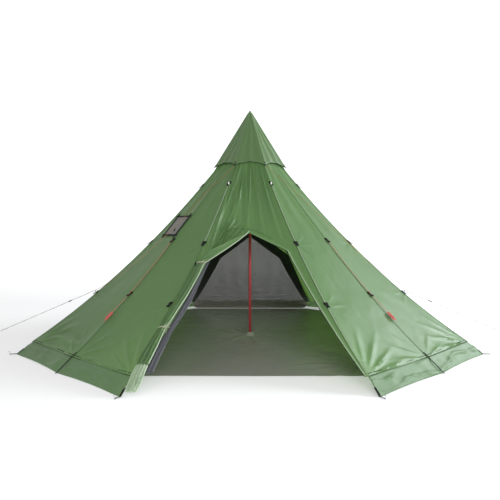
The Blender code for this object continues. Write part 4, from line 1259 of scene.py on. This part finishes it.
def add_rear_screen():
    apex, eave, half = REAR_DOOR
    radii = np.concatenate([np.linspace(apex + 0.004, eave, 24), np.linspace(eave, HEM_R, 70)[1:]])
    share = np.linspace(-1, 1, 61)[None, :]
    r = np.broadcast_to(radii[:, None], (len(radii), 61))
    edge = np.maximum(0.0, door_half(radii, REAR_DOOR) - 0.0015)[:, None]
    side = share * edge
    base = surface("rear", r, side / half_width(r), -0.003)
    free = (1 - np.abs(share) ** 6) * smooth_step(edge, 0.02, 0.2)
    lift = 0.010 * ripple(base, 0.45, 61) + 0.004 * ripple(base, 0.12, 62)
    lift += 0.003 * np.sin(side * 30 + 3 * ripple(base, 0.5, 63))
    lift += 0.0025 * np.sin(r * 62.0) * smooth_step(r, 1.85, 2.05)
    points = base + slope_normal("rear", r) * (lift * free)[..., None]
    parts = Parts()
    down = run_lengths(points[:, 30])
    parts.grid(points, np.stack([side, np.broadcast_to(down[:, None], side.shape)], -1))
    screen = parts.build("rear_mesh_screen", LOOKS["net"], slot="mesh_fabric", replaces=["rear_mesh_screen"],
                         weld=0.0001)
    thicken(screen, 0.0004, 0.0)

    # A near-black band inside the rear panel on each side of the door: painted shade for the unlit inside of
    # the rear cloth.
    facing = Parts()
    for sign in (-1, 1):
        stations = [(apex - 0.06, sign * 0.002), (eave - 0.030, sign * (half + 0.055)),
                    (HEM_R - 0.01, sign * (DOOR_FOOT_HALF + 0.060))]
        face_band(facing, "rear", stations, 0.125, 0.0010, -0.0150)
    facing = facing.build("rear_door_facing", LOOKS["facing"], slot="mesh_fabric")

    lining = Parts()
    share = np.linspace(-0.97, 0.97, 90)[None, :]
    r = np.linspace(HEM_R - 0.012, SKIRT_R - 0.047, 8)[:, None]
    r, share = np.broadcast_arrays(r, share)
    base = surface("rear", r, share, -0.012)
    lift = 0.003 * ripple(base, 0.10, 66) + 0.002 * np.sin(share * 40)
    points = base + slope_normal("rear", r) * lift[..., None]
    turned_in = np.repeat(points[-1:], 5, axis=0)
    turned_in[:, :, 1] = np.linspace(2.12, 1.975, 5)[:, None]
    turned_in[:, :, 2] = np.array((0.0220, 0.0145, 0.0125, 0.0125, 0.0130))[:, None]
    turned_in[:, :, 0] *= np.linspace(0.99, 0.90, 5)[:, None]
    points = np.concatenate([points, turned_in])
    down = run_lengths(points[:, 45])[:, None]
    lining.grid(points, paired(share[:1] * 0.86, down))
    lining = lining.build("rear_sill_lining", LOOKS["lining"], slot="mesh_fabric")
    thicken(lining, 0.0004, 0.0)

    sill = Parts()
    across = np.linspace(-0.93, 0.93, 60)
    r = np.full_like(across, SKIRT_R - 0.045)
    tube(sill, surface("rear", r, across, -0.013), 0.0022, 8)
    sill.build("rear_sill_piping", LOOKS["piping"], slot="tie_webbing")


def add_rear_roll():
    radii = np.linspace(1.405, 2.175, 46)
    turns, columns = 12, 12 * 18
    spin = np.linspace(0, 2 * math.pi * turns, columns)[None, :]
    size = np.interp(radii, (1.400, 1.460, 1.800, 2.120, 2.180), (0.020, 0.034, 0.038, 0.036, 0.022))[:, None]
    reach = size * (0.20 + 0.76 * spin / spin.max())
    wobble = 1 + 0.05 * np.sin(spin * 2 + radii[:, None] * 9) + 0.04 * np.sin(spin + radii[:, None] * 21)
    side = door_half(radii, REAR_DOOR)[:, None] + 0.012 + reach * wobble * 0.92 * np.cos(spin)
    lift = 0.004 + size + reach * wobble * 0.92 * np.sin(spin)
    r = np.broadcast_to(radii[:, None], side.shape)
    points = surface("rear", r, side / half_width(r), lift)
    parts = Parts()
    parts.grid(points, sheet_uv(points))
    roll = parts.build("rear_door_roll", LOOKS["door"], slot="door_fabric", replaces=["rear_door_roll"])
    thicken(roll, 0.0007, 0.0)
    ties = Parts()
    for r_tie in (1.56, 2.00):
        size = float(np.interp(r_tie, (1.460, 1.800, 2.120), (0.034, 0.038, 0.036)))
        centre_side = float(door_half(r_tie, REAR_DOOR)) + 0.012
        turn = np.linspace(0, 2 * math.pi, 40)
        loop_side = centre_side + np.cos(turn) * (size + 0.002)
        loop = surface("rear", np.full(40, r_tie), loop_side / half_width(r_tie),
                       0.0045 + size + np.sin(turn) * (size + 0.002))
        down = unit(surface("rear", r_tie + 0.05, 0.2, 0.0) - surface("rear", r_tie - 0.05, 0.2, 0.0))
        ribbon(ties, loop, down, 0.016, 0.0014)
        knob = surface("rear", r_tie, centre_side / half_width(r_tie), 2 * size + 0.011)
        tube(ties, np.linspace(knob - down * 0.016, knob + down * 0.016, 9),
             [0.002, 0.0045, 0.005, 0.0038, 0.0034, 0.0038, 0.005, 0.0045, 0.002], 12)
    ties = ties.build("rear_roll_ties", LOOKS["webbing"], slot="webbing")


# ---------------------------------------------------------------- stove jack

JACK_TOP_R = 0.862
JACK_BOTTOM_R = 1.030
JACK_LEFT = -0.258
JACK_RIGHT = -0.014


def add_stove_jack():
    rows, columns = 30, 30
    radii = np.linspace(JACK_TOP_R - 0.004, JACK_BOTTOM_R + 0.004, rows)
    side = np.linspace(JACK_LEFT + 0.006, JACK_RIGHT - 0.006, columns)[None, :]
    r = np.broadcast_to(radii[:, None], (rows, columns))
    side = np.broadcast_to(side, (rows, columns))
    base = surface("front_left", r, side / half_width(r))
    lift = 0.0050 + 0.0016 * ripple(base, 0.07, 71)
    points = base + slope_normal("front_left", r) * lift[..., None]
    patch = Parts()
    patch.grid(points, np.stack([side, r * 1.45], -1))
    patch = patch.build("stove_jack_patch", LOOKS["patch"], slot="patch_fabric",
                        replaces=["stove_jack_patch"])
    thicken(patch, 0.0012)
    over = 0.020
    frame_parts = Parts()
    for side_at in (JACK_LEFT + 0.010, JACK_RIGHT - 0.010):
        face_band(frame_parts, "front_left", [(JACK_TOP_R - 0.013 - over, side_at),
                                              (JACK_BOTTOM_R + 0.013 + over, side_at)], 0.020, 0.0016, 0.0072)
    for r_at in (JACK_TOP_R - 0.006, JACK_BOTTOM_R + 0.006):
        face_band(frame_parts, "front_left", [(r_at, JACK_LEFT - over), (r_at, JACK_RIGHT + over)],
                  0.020, 0.0016, 0.0086)
    middle = (JACK_TOP_R + JACK_BOTTOM_R) / 2
    face_band(frame_parts, "front_left", [(middle + 0.030, -0.120), (middle + 0.052, -0.105)],
              0.016, 0.0030, 0.0085)
    made = frame_parts.build("stove_jack_frame", LOOKS["webbing"], slot="webbing",
                             replaces=["stove_jack_frame"])


# ---------------------------------------------------------------- groundsheet

SHEET_APOTHEM = 1.990
SHEET_FRONT_Y = -1.660


def add_groundsheet():
    slant = SHEET_APOTHEM * math.tan(HALF_SIDE)
    front_x = SHEET_APOTHEM * math.sqrt(2) + SHEET_FRONT_Y
    right = [(front_x, SHEET_FRONT_Y), (SHEET_APOTHEM, -slant),
             (SHEET_APOTHEM, slant), (slant, SHEET_APOTHEM)]
    outline = right + [(-x, y) for x, y in reversed(right)]
    edge = []
    for (x0, y0), (x1, y1) in zip(outline, outline[1:] + outline[:1]):
        count = int(math.hypot(x1 - x0, y1 - y0) / 0.035)
        edge += [(x0 + (x1 - x0) * i / count, y0 + (y1 - y0) * i / count) for i in range(count)]
    edge = np.array(edge)
    share = np.concatenate([np.linspace(0.012, 0.10, 8), np.linspace(0.10, 1.0, 78)[1:]])
    x = share[:, None] * edge[None, :, 0]
    y = share[:, None] * edge[None, :, 1]
    flat = np.stack([x, y, 0 * x], -1)
    far = np.hypot(x, y)
    angle = np.arctan2(y, x)
    rays = np.sin(angle * 17 + 2.5 * ripple(flat, 0.35, 81))
    rays = rays + 0.6 * np.sin(angle * 29 + 3.0 * ripple(flat, 0.3, 82))
    high = 0.0070 * np.exp(-((far - 0.30) / 0.24) ** 2) * rays
    high += 0.0085 * ripple(flat * np.array([0.7, 1.3, 1]), 0.42, 83)
    high += 0.0050 * ripple(flat, 0.13, 84) + 0.0012 * ripple(flat, 0.05, 85)
    corner = np.hypot(x - 0.95, y + 1.30)
    turn = np.arctan2(y + 1.30, x - 0.95)
    high += 0.0100 * np.exp(-((corner - 0.30) / 0.28) ** 2) * np.sin(turn * 14 + 2 * ripple(flat, 0.3, 86))
    near_edge = smooth_step(1 - np.broadcast_to(share[:, None], x.shape), 0.0, 0.06)
    clear = smooth_step(far, 0.055, 0.16)
    z = 0.0026 + np.maximum(-0.0016, 0.0045 + high) * clear * (0.25 + 0.75 * near_edge)
    parts = Parts()
    parts.grid(np.stack([x, y, z], -1), np.stack([x, y], -1), wrap=True)
    parts.faces.append(tuple(range(len(edge))))
    sheet = parts.build("groundsheet", LOOKS["sheet"], slot="sheet_fabric", replaces=["groundsheet"])
    thicken(sheet, 0.0008)
    hem = Parts()
    rim = np.stack([x[-1], y[-1], z[-1] + 0.001], -1)
    inward = -unit(rim * np.array([1, 1, 0]))
    loop = np.vstack([rim, rim[:1]])
    inward = np.vstack([inward, inward[:1]])
    ribbon(hem, loop + inward * 0.011, inward, 0.022, 0.0012)
    hem = hem.build("groundsheet_hem", LOOKS["sheet"], slot="sheet_fabric")


# ---------------------------------------------------------------- pole

LOWER_OUTER, LOWER_INNER = 0.0150, 0.0133
UPPER_OUTER, UPPER_INNER = 0.0128, 0.0112
LOWER_FOOT_Z, LOWER_TOP_Z = 0.0100, 1.300
UPPER_FOOT_Z, UPPER_TOP_Z = 1.080, 2.400


def tube_profile(outer, inner, foot, top):
    ease = 0.0004
    return [(inner, foot + ease), (inner + ease, foot), (outer - ease, foot), (outer, foot + ease),
            (outer, top - ease), (outer - ease, top), (inner + ease, top), (inner, top - ease),
            (inner, foot + ease)]


def add_pole():
    lower = Parts()
    turned(lower, tube_profile(LOWER_OUTER, LOWER_INNER, LOWER_FOOT_Z, LOWER_TOP_Z))
    lower.build("pole_lower", LOOKS["pole"], slot="pole_anodised", replaces=["pole_lower"], weld=1e-6)
    upper = Parts()
    turned(upper, tube_profile(UPPER_OUTER, UPPER_INNER, UPPER_FOOT_Z, UPPER_TOP_Z))
    upper.build("pole_upper", LOOKS["pole"], "pole_upper_body", "pole_anodised", ["pole_upper"], weld=1e-6)
    tip = Parts()
    z = UPPER_TOP_Z + 0.0003
    turned(tip, [(0.0, z), (0.0122, z), (0.0128, z + 0.0006), (0.0128, z + 0.011), (0.0120, z + 0.013),
                 (0.0085, z + 0.030), (0.0060, z + 0.040), (0.0040, z + 0.0465), (0.0024, z + 0.0483),
                 (0.0, z + 0.0487)])
    tip.build("pole_tip", LOOKS["plastic"], "pole_upper_body", "lock_plastic", ["pole_tip"], weld=1e-6)
    foot = Parts()
    z = 0.0033
    turned(foot, [(0.0, z), (0.0170, z), (0.0190, 0.0060), (0.0190, 0.0120), (0.0184, 0.0128),
                  (0.0184, 0.0148), (0.0190, 0.0156), (0.0190, 0.0240), (0.0184, 0.0248),
                  (0.0184, 0.0268), (0.0190, 0.0276),
                  (0.0190, 0.0352), (0.0184, 0.0360), (0.0153, 0.0360), (0.0153, 0.0097), (0.0, 0.0097)])
    foot.build("pole_foot", LOOKS["rubber"], slot="foot_rubber", replaces=["pole_foot"], weld=1e-6)
    for name in ("pole_collar", "pole_lever"):
        wear_cad(name, "plastic")


def add_cups():
    """The puckered cloth cup that ties the groundsheet to the pole, and the cup at the fly's top."""
    turn = full_turn(120)[None, :]
    profile = np.array([(0.0500, 0.0036), (0.0490, 0.0060), (0.0440, 0.0105), (0.0360, 0.0170),
                        (0.0290, 0.0240), (0.0245, 0.0300), (0.0232, 0.0330), (0.0245, 0.0360),
                        (0.0262, 0.0385)])
    share = np.linspace(0, 1, len(profile))[:, None]
    pucker = np.sin(turn * 13 + 1.5 * np.sin(turn * 3)) * (0.0018 * np.sin(share * math.pi) + 0.0009)
    reach = profile[:, :1] + pucker
    z = profile[:, 1:] + 0.0012 * np.sin(turn * 7) * share
    grid = np.stack([reach * np.cos(turn), reach * np.sin(turn), np.broadcast_to(z, reach.shape)], -1)
    parts = Parts()
    parts.grid(grid, paired(turn * 0.04, profile[:, 1:] * 1.5), wrap=True)
    cup = parts.build("pole_base_cup", LOOKS["cup"], slot="cup_fabric", replaces=["pole_base_cup"])
    thicken(cup, 0.0009)
    cord = Parts()
    ring = np.linspace(0, 2 * math.pi * 2, 60)
    path = np.stack([0.0252 * np.cos(ring), 0.0252 * np.sin(ring), 0.0325 + 0.0028 * ring / ring.max()], -1)
    tube(cord, path, 0.0014, 8)
    knot = np.array([0.012, -0.0235, 0.034])
    coil_round(cord, knot, (1, 0.3, 0), 0.0036, 2.0, 0.0028, 0.0014)
    for way, size in (((0.9, -0.45, -0.10), 0.034), ((0.35, -0.9, -0.30), 0.036),
                      ((-0.5, -0.8, -0.25), 0.030)):
        way = unit(way)
        wide = unit(np.cross(way, (0, 0, 1))) * 0.007
        bow_loop(cord, knot, way * size, wide, 36, 0.0014)
    cord.build("base_cup_tie", LOOKS["tie"], slot="tie_webbing")

    top = Parts()
    turned(top, [(0.0, 2.478), (0.004, 2.4765), (0.010, 2.470), (0.0337, 2.4286), (0.0570, 2.3880),
                 (0.0575, 2.3865), (0.0560, 2.3858), (0.0535, 2.3865), (0.0345, 2.4178),
                 (0.0145, 2.4495), (0.0, 2.4495)])
    top.build("apex_cup", LOOKS["webbing"], slot="webbing", replaces=["apex_cup"], weld=1e-6)


# ---------------------------------------------------------------- tabs, pegs and small trim


TAB_LIFT = 0.0025
TAB_WIDTH = 0.022


def ridge_tab(parts, angle_degrees, r, loop=0.030):
    """A webbing tab sewn on a ridge, folded into a loop that stands off below it."""
    here = np.array(ridge_spot(angle_degrees, r))
    above = np.array(ridge_spot(angle_degrees, r - 0.03))
    down = unit(here - above)
    _, side = heading(angle_degrees)
    normal = unit(np.cross(side, down) * np.sign(np.cross(side, down)[2]))
    draw_tab(parts, here, down, side, normal, loop)


def seam_tab(parts, face, r, loop=0.030, across=0.0):
    here = surface(face, r, across)
    down = unit(surface(face, r + 0.02, across) - surface(face, r - 0.02, across))
    draw_tab(parts, here, down, face_axes(face)[1], normal_at(face, r), loop)


def draw_tab(parts, here, down, side, normal, loop):
    def at(along, high):
        return here + down * along + normal * (high + TAB_LIFT)

    ribbon(parts, [at(-0.034, 0.0), at(-0.020, 0.0), at(-0.004, 0.0)], side, TAB_WIDTH * 1.9, 0.0018)
    upper = [at(-0.026, 0.0020), at(-0.008, 0.0020), at(0.006, 0.0080), at(loop * 0.75, 0.0150),
             at(loop, 0.0145), at(loop * 1.05, 0.0105), at(loop * 0.90, 0.0060), at(0.008, 0.0015),
             at(-0.006, 0.0005)]
    ribbon(parts, smooth_route(upper, 26), side, TAB_WIDTH, 0.0016)


def add_tabs():
    parts = Parts()
    for angle in CORNERS:
        for r in RIDGE_TABS:
            if r == LOWER_TAB_R and angle in GUY_RIDGES.values():
                continue
            if (angle, r) == (FRONT_RIDGES["left"], LOWER_TAB_R):
                seam_tab(parts, "front_left", r, across=0.93)
            else:
                ridge_tab(parts, angle, r)
    for face in DIAGONALS:
        for r in SEAM_TABS:
            seam_tab(parts, face, r)
    for r, side in ((UPPER_TIE_R, -0.474), (LOWER_TIE_R, -0.700)):
        seam_tab(parts, "front", r, 0.020, side / float(half_width(r)))
    parts.build("tie_out_tabs", LOOKS["webbing"], slot="webbing")
    for name, angle in GUY_RIDGES.items():
        tab = Parts()
        ridge_tab(tab, angle, LOWER_TAB_R, loop=0.026)
        away, _ = heading(angle)
        centre = np.array(ridge_spot(angle, LOWER_TAB_R)) + np.array([0, 0, TAB_LOOP + 0.005])
        turn = full_turn(28)
        ring = centre + np.outer(np.cos(turn) * TAB_LOOP * 0.7, away) \
            + np.outer(np.sin(turn) * TAB_LOOP * 0.7, (0, 0, 1))
        tube(tab, ring, 0.0024, 10, closed=True)
        tab.build(f"guy_tab_{name}", LOOKS["webbing"], slot="webbing", replaces=[f"guy_tab_{name}"])
    toggles = Parts()
    for angle in (-67.5, -112.5):
        spot_at = np.array(ridge_spot(angle, UPPER_TAB_R)) + np.array([0, -0.030, 0.006])
        tube(toggles, [spot_at + np.array([0, 0, z]) for z in (-0.014, -0.011, -0.004, 0.004, 0.011, 0.014)],
             [0.003, 0.006, 0.0068, 0.0068, 0.006, 0.003], 12)
    toggles.build("tab_toggles", LOOKS["toggle"], slot="tie_webbing")


PEG_ANGLES = {"front_right": -67.5, "right_front": -22.5, "right_rear": 22.5, "rear_right": 67.5,
              "rear_left": 112.5, "left_rear": 157.5, "left_front": 202.5, "front_left": 247.5}


def add_peg(name, angle_degrees, r):
    away, _ = heading(angle_degrees)
    up = np.array([0, 0, 1.0])
    foot = away * r
    points = [foot + up * 0.0004, foot + up * 0.008, foot + up * 0.016, foot + up * 0.024]
    centre = foot + away * 0.009 + up * 0.024
    for turn in np.linspace(0, math.pi * 0.85, 14)[1:]:
        points.append(centre - away * (0.009 * math.cos(turn)) + up * (0.009 * math.sin(turn)))
    parts = Parts()
    tube(parts, points, 0.003, 14)
    parts.build(name, LOOKS["peg"], slot="peg_alloy", replaces=[name])


def add_pegs():
    loops = Parts()
    for name, angle in PEG_ANGLES.items():
        add_peg(f"corner_peg_{name}", angle, CORNER_PEG_R)
        away, side = heading(angle)
        spin = full_turn(40)
        middle = (SKIRT_R - 0.012 + CORNER_PEG_R + 0.005) / 2
        reach = (CORNER_PEG_R + 0.005 - SKIRT_R + 0.012) / 2
        path = (away * middle + np.outer(np.cos(spin) * reach, away)
                + np.outer(np.sin(spin) * (0.0055 + 0.004 * (1 - np.cos(spin)) / 2), side))
        path[:, 2] = 0.0065 + 0.002 * np.cos(spin)
        tube(loops, path, 0.0018, 8, closed=True)
        strap = [away * (SKIRT_R - back) + np.array([0, 0, z])
                 for back, z in ((0.060, 0.052), (0.030, 0.029), (0.004, 0.0085))]
        ribbon(loops, smooth_route(strap, 10), side, 0.018, 0.0016)
    for name, angle in GUY_RIDGES.items():
        add_peg(f"guy_peg_{name}", angle, GUY_PEG_R)
    loops.build("corner_loops", LOOKS["webbing"], slot="webbing")


# ---------------------------------------------------------------- floor and light


FLOOR_GREY = 0.62
FLOOR_GLOW, BACKDROP_GLOW = 0.34, 0.44
WORLD_STRENGTH = 0.56
KEY_POWER, FILL_POWER = 950, 420


def add_floor():
    """A pale floor that curves up into a backdrop and gives off a little light, more of it further back."""
    made, shader, tree = new_look("floor_paper", (FLOOR_GREY,) * 3, 0.9)
    place = object_place(tree)
    add_bump(tree, shader, noise_of(tree, place, 40.0), 0.05, 0.001)
    split = node(tree, "ShaderNodeSeparateXYZ")
    tree.links.new(place, split.inputs[0])
    back = calc(tree, "MULTIPLY_ADD", split.outputs["Y"], 0.10, -0.25, clamp=True)
    shader.inputs["Emission Color"].default_value = (1.0, 1.0, 1.0, 1.0)
    glow = calc(tree, "MULTIPLY_ADD", back, BACKDROP_GLOW, FLOOR_GLOW)
    tree.links.new(glow, shader.inputs["Emission Strength"])
    width, near, far, rise, bend = 40.0, -14.0, 18.0, 16.0, 5.0
    profile = [(near, 0.0), (far - bend, 0.0)]
    profile += [(far - bend + bend * math.sin(a), bend - bend * math.cos(a))
                for a in np.linspace(0.1, math.pi / 2, 14)]
    profile.append((far, rise))
    points = [(x, y, z - 0.0004) for y, z in profile for x in (-width, width)]
    faces = [(2 * i, 2 * i + 1, 2 * i + 3, 2 * i + 2) for i in range(len(profile) - 1)]
    mesh = bpy.data.meshes.new("floor")
    mesh.from_pydata(points, [], faces)
    mesh.shade_smooth()
    mesh.materials.append(made)
    floor = bpy.data.objects.new("floor", mesh)
    bpy.context.collection.objects.link(floor)


def add_light(name, place, aim, size, power, tint=(1.0, 1.0, 1.0)):
    data = bpy.data.lights.new(name, "AREA")
    data.shape = "RECTANGLE"
    data.size, data.size_y = size
    data.energy = power
    data.color = tint
    made = bpy.data.objects.new(name, data)
    made.location = place
    made.rotation_euler = (Vector(aim) - Vector(place)).to_track_quat("-Z", "Y").to_euler()
    bpy.context.collection.objects.link(made)


def add_lights():
    bpy.context.scene.view_settings.view_transform = "Standard"
    world = bpy.data.worlds.new("studio")
    bpy.context.scene.world = world
    world.use_nodes = True
    world.node_tree.nodes["Background"].inputs["Color"].default_value = (1.0, 1.0, 1.0, 1.0)
    world.node_tree.nodes["Background"].inputs["Strength"].default_value = WORLD_STRENGTH
    add_light("key", (8.5, 1.5, 4.6), (0, 0, 0.5), (4.0, 4.0), KEY_POWER, (0.94, 1.0, 1.06))
    add_light("front_fill", (1.2, -9.0, 2.6), (0, 0, 0.6), (4.0, 3.0), FILL_POWER)


add_camera()
for cord_name, cord_side in CORD_SIDES.items():
    add_side_cords(cord_name, cord_side)
for guy_name, guy_angle in GUY_RIDGES.items():
    add_guy(guy_name, guy_angle)
add_fly()
add_seams()
add_pale_lines()
add_skirt()
add_hem()
add_cap()
add_door_flap()
add_door_mesh()
add_skirt_gather()
add_ties()
add_door_edges()
add_rear_screen()
add_rear_roll()
add_stove_jack()
add_groundsheet()
add_pole()
add_cups()
add_tabs()
add_pegs()
for slider in ("door_zip_slider", "rear_zip_slider"):
    wear_cad(slider, "slider")
add_floor()
add_lights()
